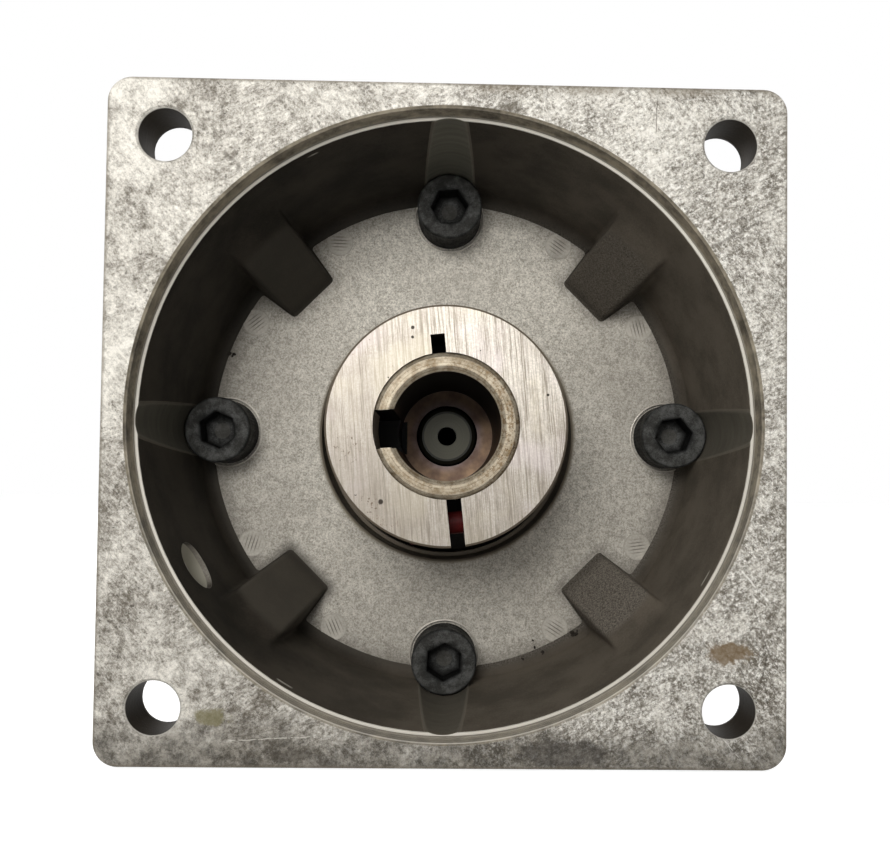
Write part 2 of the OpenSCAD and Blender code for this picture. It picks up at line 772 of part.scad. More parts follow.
module rear_outer_race() {
    lay() outer_race(rear_bore_d, rear_race_d, rear_z, rear_bearing_w);
}

module rear_inner_race() {
    lay() inner_race(rear_bore_d, rear_race_d, rear_z, rear_bearing_w);
}

module rear_balls() {
    lay() balls(rear_bore_d, rear_race_d, rear_z, rear_bearing_w);
}

module rear_cage() {
    lay() cage(rear_bore_d, rear_race_d, rear_z, rear_bearing_w);
}

// Hollow shaft: slotted collet, seal journal, bearing seat and a stepped hole for the sun gear
module hollow_shaft() {
    bevel = 1;
    color([0.7, 0.66, 0.58]) lay() difference() {
        rotate_extrude() polygon([
            [0, hollow_z], [input_bore_d / 2 - bevel, hollow_z], [input_bore_d / 2, hollow_z + bevel],
            [input_bore_d / 2, input_shoulder_z], [seal_journal_d / 2, input_shoulder_z],
            [seal_journal_d / 2, clamp_z], [collet_d / 2, clamp_z],
            [collet_d / 2, hollow_end_z - bevel], [collet_d / 2 - bevel, hollow_end_z], [0, hollow_end_z]
        ]);
        disc(motor_shaft_d / 2, bore_bottom_z, hollow_end_z + cut);
        cone(motor_shaft_d / 2, motor_shaft_d / 2 + bevel + cut, hollow_end_z - bevel, hollow_end_z + cut);
        disc(sun_shank_d / 2, hollow_z - cut, bore_bottom_z + cut);
        tube(input_bore_d, input_bore_d / 2 - circlip_bite,
            input_bearing_z - circlip_room, input_bearing_z);
        rotate([0, 0, key_slot_angle]) translate([0, -key_slot_w / 2, hollow_end_z - key_slot_l])
            cube([seal_journal_d, key_slot_w, key_slot_l + cut]);
    }
}

// Clamp ring: one slit through its wall, a relief slot opposite and a screw across the slit
module clamp_ring() {
    bevel = 0.5;
    color([0.78, 0.78, 0.77]) lay() difference() {
        union() {
            disc(clamp_d / 2, clamp_z + bevel, clamp_end_z - bevel);
            cone(clamp_d / 2 - bevel, clamp_d / 2, clamp_z, clamp_z + bevel);
            cone(clamp_d / 2, clamp_d / 2 - bevel, clamp_end_z - bevel, clamp_end_z);
        }
        disc(collet_d / 2 + seat_gap, clamp_z - cut, clamp_end_z + cut);
        rotate([0, 0, slit_angle]) translate([0, -slit_w / 2, clamp_z - cut])
            cube([clamp_d, slit_w, clamp_w + 2 * cut]);
        rotate([0, 0, slit_angle - 180]) translate([0, -relief_w / 2, clamp_z - cut])
            cube([collet_d / 2 + relief_depth, relief_w, clamp_w + 2 * cut]);
        clamp_screw_place() screw_room(clamp_screw_d, clamp_d, clamp_screw_d / 2 + thread_gap, clamp_d);
    }
}

// The clamp screw lies across the slit, its head towards the access hole
module clamp_screw_place() {
    translate([clamp_head[0], clamp_head[1], clamp_screw_z]) rotate([0, 0, slit_angle + 90])
        rotate([0, -90, 0]) children();
}

module clamp_screw() {
    color([0.35, 0.1, 0.08]) lay() clamp_screw_place()
        socket_screw(clamp_screw_d, clamp_head_seat + clamp_thread_l);
}

// Sun gear with the shank that sits in the hollow shaft and a centre hole in its end
module sun_gear() {
    bevel = 1.4;
    centre_r_small = 2.45;
    centre_l = 6;
    shank_r = sun_shank_d / 2 - seat_gap;
    teeth_z = window_z + washer_play;
    teeth_end_z = window_end_z + sun_room;
    color([0.6, 0.61, 0.6]) lay() difference() {
        union() {
            translate([0, 0, teeth_z]) linear_extrude(teeth_end_z - teeth_z) rotate(train_angle)
                polygon(gear_points(sun_teeth, sun_root_r, sun_tip_r, backlash / 2));
            disc(shank_r, teeth_end_z - cut, bore_bottom_z - washer_play - bevel);
            cone(shank_r, shank_r - bevel, bore_bottom_z - washer_play - bevel,
                bore_bottom_z - washer_play);
        }
        disc(centre_r_small, bore_bottom_z - centre_l, bore_bottom_z + cut);
        cone(0, centre_r_small, bore_bottom_z - centre_l - bevel, bore_bottom_z - centre_l);
    }
}

module input_shaft_circlip() {
    lay() circlip(input_bore_d / 2 - circlip_bite + turning_gap, input_bore_d / 2 + circlip_band - cut,
        input_bore_d / 2 + circlip_band - cut, input_bearing_z - circlip_t);
}

// Planet carrier in one piece with the output shaft
module planet_carrier() {
    bevel = 1.5;
    front_r = front_bore_d / 2;
    rear_r = rear_bore_d / 2;
    shaft_r = output_shaft_d / 2;
    shoulder_z = -output_pilot_h - edge_chamfer;
    shoulder_r = (rear_r + rear_race_d / 2) / 2 - ball_r(rear_bore_d, rear_race_d);
    key_end = shoulder_z - (output_shaft_l + shoulder_z - output_key_l) / 2;
    color([0.62, 0.63, 0.64]) lay() difference() {
        union() {
            rotate_extrude() polygon([
                [0, -output_shaft_l], [shaft_r - bevel, -output_shaft_l], [shaft_r, bevel - output_shaft_l],
                [shaft_r, shoulder_z], [front_r - bevel, shoulder_z], [front_r, shoulder_z + bevel],
                [front_r, rear_z], [rear_r, rear_z], [rear_r, rear_end_z], [shoulder_r, rear_end_z],
                [shoulder_r, carrier_z + cut], [0, carrier_z + cut]
            ]);
            disc(carrier_r, carrier_z, carrier_end_z);
        }
        round_the_circle(planet_count, centre_r, train_angle) {
            disc(planet_tip_r + planet_room, window_z, window_end_z);
            disc(pin_d / 2 + seat_gap, carrier_z + cut, carrier_end_z + cut);
        }
        disc(sun_tip_r + sun_room, window_z, carrier_end_z + cut);
        tube(front_r + cut, front_r - circlip_bite, front_z - circlip_room, front_z);
        rotate([0, 0, output_key_angle - 90]) {
            for (end = [key_end - output_key_w / 2, key_end - output_key_l + output_key_w / 2])
                translate([0, shaft_r, end]) rotate([90, 0, 0]) disc(output_key_w / 2, -cut, output_key_depth);
            translate([-output_key_w / 2, shaft_r - output_key_depth, key_end - output_key_l + output_key_w / 2])
                cube([output_key_w, output_key_depth + cut, output_key_l - output_key_w]);
        }
        disc(centre_hole_d / 2, -output_shaft_l - cut, centre_hole_l - output_shaft_l);
        cone(centre_hole_d / 2 + bevel, centre_hole_d / 2, -output_shaft_l, bevel - output_shaft_l);
    }
}

module planet_pins() {
    color("silver") lay() round_the_circle(planet_count, centre_r, train_angle)
        tube(pin_d / 2, pin_oil_hole_d / 2, carrier_z + cut, carrier_end_z - edge_chamfer);
}

module thrust_washers() {
    color([0.72, 0.55, 0.3]) lay() round_the_circle(planet_count, centre_r, train_angle)
        for (z = [window_z, window_end_z - washer_t])
            tube(planet_bore_r + needle_d, pin_d / 2 + seat_gap, z, z + washer_t);
}

module bearing_spacer() {
    color("silver") lay() tube(front_bore_d / 2 + spacer_t, front_bore_d / 2 + seat_gap,
        front_end_z, rear_z);
}

module output_shaft_circlip() {
    lay() circlip(front_bore_d / 2 - circlip_bite + turning_gap, front_bore_d / 2 + circlip_band,
        front_bore_d / 2 + circlip_band, front_z - circlip_t);
}

// Planet i on its pin, turned so that its teeth mesh with the ring and the sun
module planet_gear(i) {
    place = train_angle + (i - 1) * 360 / planet_count;
    mesh_turn = -(i - 1) * 360 / planet_count * ring_teeth / planet_teeth;
    z0 = window_z + washer_t + washer_play;
    root_r = gear_module * (planet_teeth / 2 - dedendum_share);
    color([0.66, 0.66, 0.68]) lay() rotate([0, 0, place]) translate([centre_r, 0, z0]) difference() {
        linear_extrude(gear_w) rotate(mesh_turn)
            polygon(gear_points(planet_teeth, root_r, planet_tip_r, backlash / 2));
        disc(planet_bore_r, -cut, gear_w + cut);
    }
}

module needles(i) {
    place = train_angle + (i - 1) * 360 / planet_count;
    z0 = window_z + washer_t + washer_play + needle_margin;
    color("gainsboro") lay() rotate([0, 0, place]) translate([centre_r, 0, 0])
        round_the_circle(needle_count, needle_ring_r) disc(needle_r, z0, z0 + gear_w - 2 * needle_margin);
}

motor_adapter();
adapter_screws();
input_plate();
plate_screws();
input_seal();
input_race_circlip();
input_outer_race();
input_o_ring();
ring_gear();
housing_screws();
output_o_ring();
output_housing();
oil_plugs();
output_seal();
front_outer_race();
front_race_circlip();
rear_outer_race();
hollow_shaft();
clamp_ring();
clamp_screw();
sun_gear();
input_inner_race();
input_shaft_circlip();
input_balls();
input_cage();
planet_carrier();
planet_pins();
thrust_washers();
front_inner_race();
bearing_spacer();
rear_inner_race();
output_shaft_circlip();
front_balls();
front_cage();
rear_balls();
rear_cage();
planet_gear(1);  // planet_gear_1
planet_gear(2);  // planet_gear_2
planet_gear(3);  // planet_gear_3
needles(1);  // needles_1
needles(2);  // needles_2
needles(3);  // needles_3
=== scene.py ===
"""Looks of a single stage planetary gearbox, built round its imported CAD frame.

The shaft line is the Y axis and the motor side faces -Y. New pieces are worked out in shaft
millimetres (right, up, towards the motor) and carried to the frame's metres by to_frame().
"""

import logging
import math
from dataclasses import dataclass, field
from enum import Enum

import bpy
import numpy as np
from mathutils import Matrix, Vector


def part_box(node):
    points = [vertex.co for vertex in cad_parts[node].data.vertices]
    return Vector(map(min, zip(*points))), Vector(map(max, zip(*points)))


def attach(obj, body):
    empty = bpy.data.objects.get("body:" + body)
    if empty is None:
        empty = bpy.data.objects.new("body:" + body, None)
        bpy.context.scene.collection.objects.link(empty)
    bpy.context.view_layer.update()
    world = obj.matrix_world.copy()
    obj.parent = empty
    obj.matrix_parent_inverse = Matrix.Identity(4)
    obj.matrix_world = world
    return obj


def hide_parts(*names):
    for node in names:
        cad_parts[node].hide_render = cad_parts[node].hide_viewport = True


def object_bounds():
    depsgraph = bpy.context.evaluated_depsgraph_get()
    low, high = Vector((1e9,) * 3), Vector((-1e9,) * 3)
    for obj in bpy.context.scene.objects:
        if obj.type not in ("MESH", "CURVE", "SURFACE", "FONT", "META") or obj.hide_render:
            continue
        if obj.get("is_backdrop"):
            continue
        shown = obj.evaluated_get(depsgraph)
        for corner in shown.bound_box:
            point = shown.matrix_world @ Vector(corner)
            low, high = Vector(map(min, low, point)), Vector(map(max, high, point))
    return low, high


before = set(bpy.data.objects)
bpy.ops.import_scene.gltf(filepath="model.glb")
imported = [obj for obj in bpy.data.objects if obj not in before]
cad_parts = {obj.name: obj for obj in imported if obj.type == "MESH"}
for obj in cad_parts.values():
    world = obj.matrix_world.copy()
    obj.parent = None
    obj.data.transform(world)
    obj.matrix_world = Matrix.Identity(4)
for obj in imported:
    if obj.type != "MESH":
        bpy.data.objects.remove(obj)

MM = 0.001
Colour = tuple[float, float, float, float]
log = logging.getLogger("gearbox")


def tone(red: int, green: int, blue: int) -> Colour:
    """Turns a screen colour of 0 to 255 into the shader's linear colour."""
    share = [c / 255 for c in (red, green, blue)]
    return tuple(s / 12.92 if s <= 0.04045 else ((s + 0.055) / 1.055) ** 2.4 for s in share) + (1.0,)


def to_frame(points: np.ndarray) -> np.ndarray:
    """Carries shaft millimetres (right, up, towards the motor) to the frame's metres."""
    return np.stack([points[..., 0], -points[..., 2], points[..., 1]], axis=-1) * MM


def station(node: str) -> tuple[float, float]:
    """Gives the lowest and highest station of a CAD node along the shaft, in millimetres."""
    low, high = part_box(node)
    return -high.y / MM, -low.y / MM


def smooth_max(a: np.ndarray, b: np.ndarray, blend: float) -> np.ndarray:
    """The larger of two fields, rounded over where they are within blend of each other."""
    share = np.clip(0.5 + 0.5 * (a - b) / blend, 0, 1)
    return b + (a - b) * share + blend * share * (1 - share)


def smooth_min(a: np.ndarray, b: np.ndarray, blend: float) -> np.ndarray:
    """The smaller of two fields, rounded over where they are within blend of each other."""
    return -smooth_max(-a, -b, blend)


def round_line(radius: np.ndarray, height: np.ndarray, angle: np.ndarray) -> np.ndarray:
    """Carries a profile round the shaft line.

    Args:
        radius: Radii in rows of the profile and columns of the angle, or one column.
        height: Heights of the same rows.
        angle: Angles of the columns, in radians.

    Returns:
        Points (radius times cosine, radius times sine, height) as rows, columns and 3.
    """
    radius, height, angle = np.broadcast_arrays(radius, height, angle[None, :])
    return np.stack([radius * np.cos(angle), radius * np.sin(angle), height], axis=-1)


@dataclass
class Shell:
    """One mesh gathered from numpy grids, in shaft millimetres."""

    points: list[np.ndarray] = field(default_factory=list)
    faces: list[np.ndarray] = field(default_factory=list)
    tints: list[np.ndarray] = field(default_factory=list)
    count: int = 0

    def grid(self, points: np.ndarray, closed: bool = True, looped: bool = False,
             keep: np.ndarray | None = None, tint: np.ndarray | float = 0) -> np.ndarray:
        """Adds a grid with a four-sided face between each four neighbours.

        Faces look along (step to the next column) x (step to the next row).

        Args:
            points: Rows, columns and 3.
            closed: Whether the last column joins the first.
            looped: Whether the last row joins the first.
            keep: Which faces stay, as rows and columns of faces.
            tint: Tint of each point: above 0 brighter, below 0 darker; it carries wear, grime and painted
                light and shade.

        Returns:
            The index of each point, as rows and columns.
        """
        rows, columns = points.shape[:2]
        index = np.arange(rows * columns).reshape(rows, columns) + self.count
        round_index = np.hstack([index, index[:, :1]]) if closed else index
        round_index = np.vstack([round_index, round_index[:1]]) if looped else round_index
        quads = np.stack([round_index[:-1, :-1], round_index[:-1, 1:],
                          round_index[1:, 1:], round_index[1:, :-1]], axis=-1)
        quads = quads[keep] if keep is not None else quads.reshape(-1, 4)
        self.points.append(points.reshape(-1, 3))
        self.tints.append(np.broadcast_to(tint, (rows, columns)).ravel())
        self.faces.append(quads)
        self.count += rows * columns
        return index

    def cap(self, ring: np.ndarray, centre: np.ndarray, first: bool) -> None:
        """Closes the first or last row of a grid with a fan of triangles to a centre point."""
        self.points.append(centre.reshape(1, 3))
        self.tints.append(self.tints[-1][-1:])
        middle = np.full(len(ring), self.count)
        after = np.roll(ring, -1)
        self.faces.append(np.stack([middle, after, ring] if first else [middle, ring, after], axis=-1))
        self.count += 1

    def turned(self, profile: np.ndarray, columns: int, centre: tuple[float, float] = (0, 0),
               capped: bool = True, tint: np.ndarray | float = 0) -> None:
        """Adds a turned solid: a profile of radii and heights carried round a line.

        Args:
            profile: Radius and height of each row, or rows, columns and 2. It runs from the bottom's
                middle over the outside to the top's middle, or all round where capped is false.
            columns: Number of points round the line.
            centre: Place of that line.
            capped: Whether the ends close on the line, or the last row on the first.
            tint: Tint of each row, as a column, as in grid().
        """
        angle = np.linspace(0, 2 * np.pi, columns, endpoint=False)
        radius, height = profile[..., 0], profile[..., 1]
        if profile.ndim == 2:
            radius, height = radius[:, None], height[:, None]
        points = round_line(radius, height, angle) + np.array([*centre, 0])
        index = self.grid(points, looped=not capped, tint=tint)
        if capped:
            self.cap(index[0], points[0].mean(0), True)
            self.cap(index[-1], points[-1].mean(0), False)

    def piece(self, name: str, body: str, finish: "Finish", sharp: float = 34) -> bpy.types.Object:
        """Makes the Blender piece, dresses it and lets it ride on its body.

        Args:
            name: Name of the piece.
            body: CAD body that carries it.
            finish: What it is dressed in.
            sharp: Angle between faces, in degrees, from which an edge stays sharp.

        Returns:
            The new object, at the origin of the frame.
        """
        mesh = bpy.data.meshes.new(name)
        loops = np.concatenate([f.ravel() for f in self.faces])
        sizes = np.concatenate([np.full(len(f), f.shape[1]) for f in self.faces])
        points = to_frame(np.concatenate(self.points)).astype(np.float32)
        mesh.vertices.add(len(points))
        mesh.vertices.foreach_set("co", points.ravel())
        mesh.loops.add(len(loops))
        mesh.loops.foreach_set("vertex_index", loops.astype(np.int32))
        mesh.polygons.add(len(sizes))
        starts = np.concatenate([[0], np.cumsum(sizes)[:-1]])
        mesh.polygons.foreach_set("loop_start", starts.astype(np.int32))
        mesh.polygons.foreach_set("use_smooth", np.ones(len(sizes), bool))
        mesh.attributes.new("tint", "FLOAT", "POINT").data.foreach_set(
            "value", np.concatenate(self.tints).astype(np.float32))
        mesh.update(calc_edges=True)
        mesh.validate()
        mesh.set_sharp_from_angle(angle=math.radians(sharp))
        made = bpy.data.objects.new(name, mesh)
        bpy.context.scene.collection.objects.link(made)
        mesh.materials.append(finish.material())
        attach(made, body)
        log.info("%s: %d points, %d faces, on %s", name, len(points), len(sizes), body)
        return made


class Field:
    """A value that nodes work out. Its sums with numbers and other fields add the nodes for them."""

    def __init__(self, recipe: "Recipe", socket: bpy.types.NodeSocket) -> None:
        """Keeps the socket that gives the value and the recipe that the sums are written into."""
        self.recipe, self.socket = recipe, socket

    def __add__(self, other: "Value") -> "Field":
        """The sum with another value."""
        return self.recipe.math("ADD", self, other)

    def __sub__(self, other: "Value") -> "Field":
        """The difference from another value."""
        return self.recipe.math("SUBTRACT", self, other)

    def __rsub__(self, other: "Value") -> "Field":
        """Another value less this one."""
        return self.recipe.math("SUBTRACT", other, self)

    def __mul__(self, other: "Value") -> "Field":
        """The product with another value."""
        return self.recipe.math("MULTIPLY", self, other)

    def __truediv__(self, other: "Value") -> "Field":
        """The share of another value."""
        return self.recipe.math("DIVIDE", self, other)

    def __abs__(self) -> "Field":
        """The value without its sign."""
        return self.recipe.math("ABSOLUTE", self)

    def step(self, low: float, high: float) -> "Field":
        """Gives 0 at low and 1 at high, with a soft change between them."""
        node = self.recipe.add("ShaderNodeMapRange", {"interpolation_type": "SMOOTHSTEP"}, Value=self)
        node.inputs["From Min"].default_value = low
        node.inputs["From Max"].default_value = high
        return self.recipe.out(node)

    def below(self, low: float, high: float) -> "Field":
        """Gives 1 at low and 0 at high, with a soft change between them."""
        return 1.0 - self.step(low, high)

    def band(self, low: float, high: float, soft: float) -> "Field":
        """Gives 1 between low and high, and 0 outside."""
        return self.step(low - soft, low) * self.below(high, high + soft)


Value = Field | float | Colour


class Recipe:
    """Writes the nodes of one material.

    Its right, along, up, low (downwards) and reach (distance from the shaft line) are the object's own
    coordinates in millimetres. Patterns are laid on the same coordinates in metres.
    """

    def __init__(self, name: str) -> None:
        """Starts the material with its shader and its coordinates."""
        self.material = bpy.data.materials.new(name)
        self.material.use_nodes = True
        self.tree = self.material.node_tree
        self.tree.nodes.clear()
        self.shader = self.add("ShaderNodeBsdfPrincipled")
        out = self.add("ShaderNodeOutputMaterial")
        self.tree.links.new(self.shader.outputs["BSDF"], out.inputs["Surface"])
        self.place = self.out(self.add("ShaderNodeTexCoord"), "Object")
        parts = self.add("ShaderNodeSeparateXYZ", Vector=self.place)
        self.right, self.along, self.up = (self.out(parts, i) * (1 / MM) for i in range(3))
        self.low = self.up * -1.0
        self.reach = self.length(self.right, self.up)

    def feed(self, socket: bpy.types.NodeSocket, value: Value) -> None:
        """Links a socket to a field, or writes a number or colour into it."""
        if isinstance(value, Field):
            self.tree.links.new(value.socket, socket)
        else:
            socket.default_value = value

    def add(self, kind: str, settings: dict | None = None, **inputs: Value) -> bpy.types.Node:
        """Adds a node, sets its options and feeds its inputs by name."""
        node = self.tree.nodes.new(kind)
        for key, value in (settings or {}).items():
            setattr(node, key, value)
        for key, value in inputs.items():
            self.feed(node.inputs[key], value)
        return node

    def out(self, node: bpy.types.Node, key: int | str = 0) -> Field:
        """Gives one output of a node."""
        return Field(self, node.outputs[key])

    def math(self, operation: str, a: Value, b: Value = 0.0, clamp: bool = False) -> Field:
        """Gives the result of one sum."""
        node = self.add("ShaderNodeMath", {"operation": operation, "use_clamp": clamp})
        self.feed(node.inputs[0], a)
        self.feed(node.inputs[1], b)
        return self.out(node)

    def either(self, a: Value, b: Value) -> Field:
        """Gives the larger of two values."""
        return self.math("MAXIMUM", a, b)

    def length(self, a: Field, b: Field) -> Field:
        """Gives the length of the way a to one side and b to the other."""
        return self.math("SQRT", a * a + b * b)

    def mix(self, share: Value, a: Value, b: Value) -> Field:
        """Mixes two colours."""
        node = self.add("ShaderNodeMix", {"data_type": "RGBA"})
        for slot, value in ((0, share), (6, a), (7, b)):
            self.feed(node.inputs[slot], value)
        return self.out(node, 2)

    def blend(self, share: Value, a: Value, b: Value) -> Field:
        """Mixes two numbers."""
        node = self.add("ShaderNodeMix", {"data_type": "FLOAT"})
        for slot, value in ((0, share), (2, a), (3, b)):
            self.feed(node.inputs[slot], value)
        return self.out(node)

    def stretched(self, axes: tuple[float, float, float], turn: float = 0.0) -> Field:
        """Gives the coordinates turned about the shaft line and then scaled along each axis."""
        turned = self.out(self.add("ShaderNodeVectorRotate", {"rotation_type": "Y_AXIS"},
                                   Vector=self.place, Angle=math.radians(turn)))
        scaled = self.add("ShaderNodeVectorMath", {"operation": "MULTIPLY"})
        self.feed(scaled.inputs[0], turned)
        scaled.inputs[1].default_value = axes
        return self.out(scaled)

    def rings(self, per_metre: float) -> Field:
        """Gives coordinates that change only with the distance from the shaft line and along it."""
        scale = per_metre * MM
        return self.out(self.add("ShaderNodeCombineXYZ", X=self.reach * scale, Y=self.along * scale))

    def noise(self, scale: float, detail: float = 4, roughness: float = 0.55,
              at: Field | None = None) -> Field:
        """Gives a cloud of values round 0.5.

        Args:
            scale: Features per metre, or per unit of the given coordinates.
            detail: Number of finer layers.
            roughness: Weight of each finer layer.
            at: Coordinates, where they aren't the object's own.
        """
        return self.out(self.add("ShaderNodeTexNoise", Vector=at or self.place, Scale=scale, Detail=detail,
                                 Roughness=roughness))

    def brushed(self, axes: tuple[float, float, float], turn: float, detail: float,
                roughness: float) -> Field:
        """Gives a noise drawn out into strokes."""
        return self.noise(1, detail, roughness, at=self.stretched(axes, turn))

    def scratches(self, turn: float, length_mm: float, width_mm: float, rare: float) -> Field:
        """Gives thin straight scratches at one angle: a stretched noise cut off near its peaks."""
        lines = self.brushed((1 / (length_mm * MM), 300, 1 / (width_mm * MM)), turn, 1, 0.4)
        return lines.step(rare, rare + 0.03)

    def spot(self, right: float, up: float, size: float, ragged: float, wide: float = 1.0) -> Field:
        """Gives a ragged spot on a face that looks along the shaft.

        Args:
            right: Place to the right, in millimetres.
            up: Place upwards, in millimetres.
            size: Radius, in millimetres.
            ragged: Unevenness of the rim as a share of the radius.
            wide: Width over height.
        """
        away = self.length((self.right - right) / wide, self.up - up)
        rough = (self.noise(400, 5, 0.7) - 0.5) * (ragged * size)
        return (away + rough).below(size * 0.6, size)

    def stroke(self, start: tuple[float, float], end: tuple[float, float], width: float) -> Field:
        """Gives one ragged scratch between two points of a face that looks along the shaft."""
        run, rise = end[0] - start[0], end[1] - start[1]
        length = math.hypot(run, rise)
        run, rise = run / length, rise / length
        right, up = self.right - start[0], self.up - start[1]
        bent = up * run - right * rise + (self.noise(160, 4, 0.6) - 0.5) * 1.2
        broken = self.noise(700, 3, 0.6).step(0.36, 0.5)
        thin = abs(bent).below(width * 0.2, width)
        return thin * (right * run + up * rise).band(0, length, 0.8) * broken

    def edges(self, radius_mm: float) -> tuple[Field, Field]:
        """Rounds the shading of sharp edges.

        Returns:
            A mask of those edges and the rounded normal.
        """
        rounded = self.out(self.add("ShaderNodeBevel", {"samples": 4}, Radius=radius_mm * MM))
        alike = self.add("ShaderNodeVectorMath", {"operation": "DOT_PRODUCT"})
        self.feed(alike.inputs[0], rounded)
        self.feed(alike.inputs[1], self.out(self.add("ShaderNodeNewGeometry"), "Normal"))
        return (1.0 - self.out(alike, "Value")).step(0.03, 0.22), rounded

    def wear_and_shading(self) -> tuple[Field, Field]:
        """Gives the masks of the points tinted bright and dark, for wear, grime and painted light and shade.
        """
        tint = self.out(self.add("ShaderNodeAttribute", {"attribute_name": "tint"}), "Fac")
        return self.math("ADD", tint, 0.0, True), self.math("MULTIPLY", tint, -1.0, True)

    def facing(self) -> Field:
        """Gives how far a surface looks along the shaft, from 0 to 1."""
        normal = self.out(self.add("ShaderNodeNewGeometry"), "True Normal")
        return abs(self.out(self.add("ShaderNodeSeparateXYZ", Vector=normal), 1))

    def relief(self, height: Field, depth_mm: float, normal: Field | None = None) -> None:
        """Presses a height field into the surface's normal."""
        bump = self.add("ShaderNodeBump", Height=height, Distance=depth_mm * MM, Strength=1.0)
        if normal is not None:
            self.feed(bump.inputs["Normal"], normal)
        self.feed(self.shader.inputs["Normal"], self.out(bump))

    def finish(self, colour: Field, roughness: Value, metallic: Value, gloss: float) -> bpy.types.Material:
        """Feeds the shader's main sockets and gives the material."""
        self.shader.inputs["Specular IOR Level"].default_value = gloss
        self.feed(self.shader.inputs["Base Color"], colour)
        self.feed(self.shader.inputs["Roughness"], roughness)
        self.feed(self.shader.inputs["Metallic"], metallic)
        return self.material


class Grain(Enum):
    """How a surface was made, which sets the run of its fine marks."""

    CAST = "cast"
    TURNED = "turned"


@dataclass(frozen=True)
class Finish:
    """A finish with two tones, clouds between them, fine marks and worn edges. Lengths are in mm."""

    label: str
    slot: str
    light: Colour
    dark: Colour
    metallic: float = 0.7
    roughness: float = 0.4
    grain: Grain = Grain.TURNED
    grain_mm: float = 0.3
    relief_mm: float = 0.02
    cloud_mm: float = 8
    cloud_low: float = 0.2
    cloud_high: float = 0.8
    edge: Colour = tone(205, 203, 198)
    edge_mm: float = 0.35
    edge_share: float = 0.5
    grime_and_shade: Colour = tone(22, 19, 16)
    gloss: float = 0.5
    shaded_within_mm: float = 0

    def material(self) -> bpy.types.Material:
        """Gives this finish's material, written once and named apart from the CAD's own materials."""
        name = self.label + "_finish"
        return bpy.data.materials.get(name) or self.write(Recipe(name))

    def marks(self, recipe: Recipe) -> Field:
        """Gives the fine marks: even grains, or rings about the shaft."""
        per_metre = 1 / (self.grain_mm * MM)
        if self.grain is Grain.CAST:
            return recipe.noise(per_metre, 3, 0.6)
        return recipe.noise(1, 2, 0.6, at=recipe.rings(per_metre))

    def write(self, recipe: Recipe) -> bpy.types.Material:
        """Writes the nodes: clouds and marks mix the tones, edges are worn bright."""
        marks = self.marks(recipe)
        clouds = recipe.noise(1 / (self.cloud_mm * MM), 7, 0.65)
        share = recipe.blend(0.35, clouds, marks).step(self.cloud_low, self.cloud_high)
        worn, rounded = recipe.edges(self.edge_mm)
        colour = recipe.mix(share, self.dark, self.light)
        colour = recipe.mix(worn * self.edge_share, colour, self.edge)
        # The tint paints wear and grime, and on the screws painted reflection and painted shade.
        bright, grimed_and_shaded = recipe.wear_and_shading()
        colour = recipe.mix(bright, recipe.mix(grimed_and_shaded, colour, self.grime_and_shade), self.edge)
        # Painted shade inside a radius, where the plate shows in the gap round the hub.
        if self.shaded_within_mm:
            inner_shade = recipe.reach.below(self.shaded_within_mm - 0.5, self.shaded_within_mm)
            colour = recipe.mix(inner_shade, colour, self.grime_and_shade)
        recipe.relief(marks, self.relief_mm, rounded)
        rough = recipe.math("SUBTRACT", self.roughness + 0.12, share * 0.2, True)
        return recipe.finish(colour, rough, self.metallic, self.gloss)


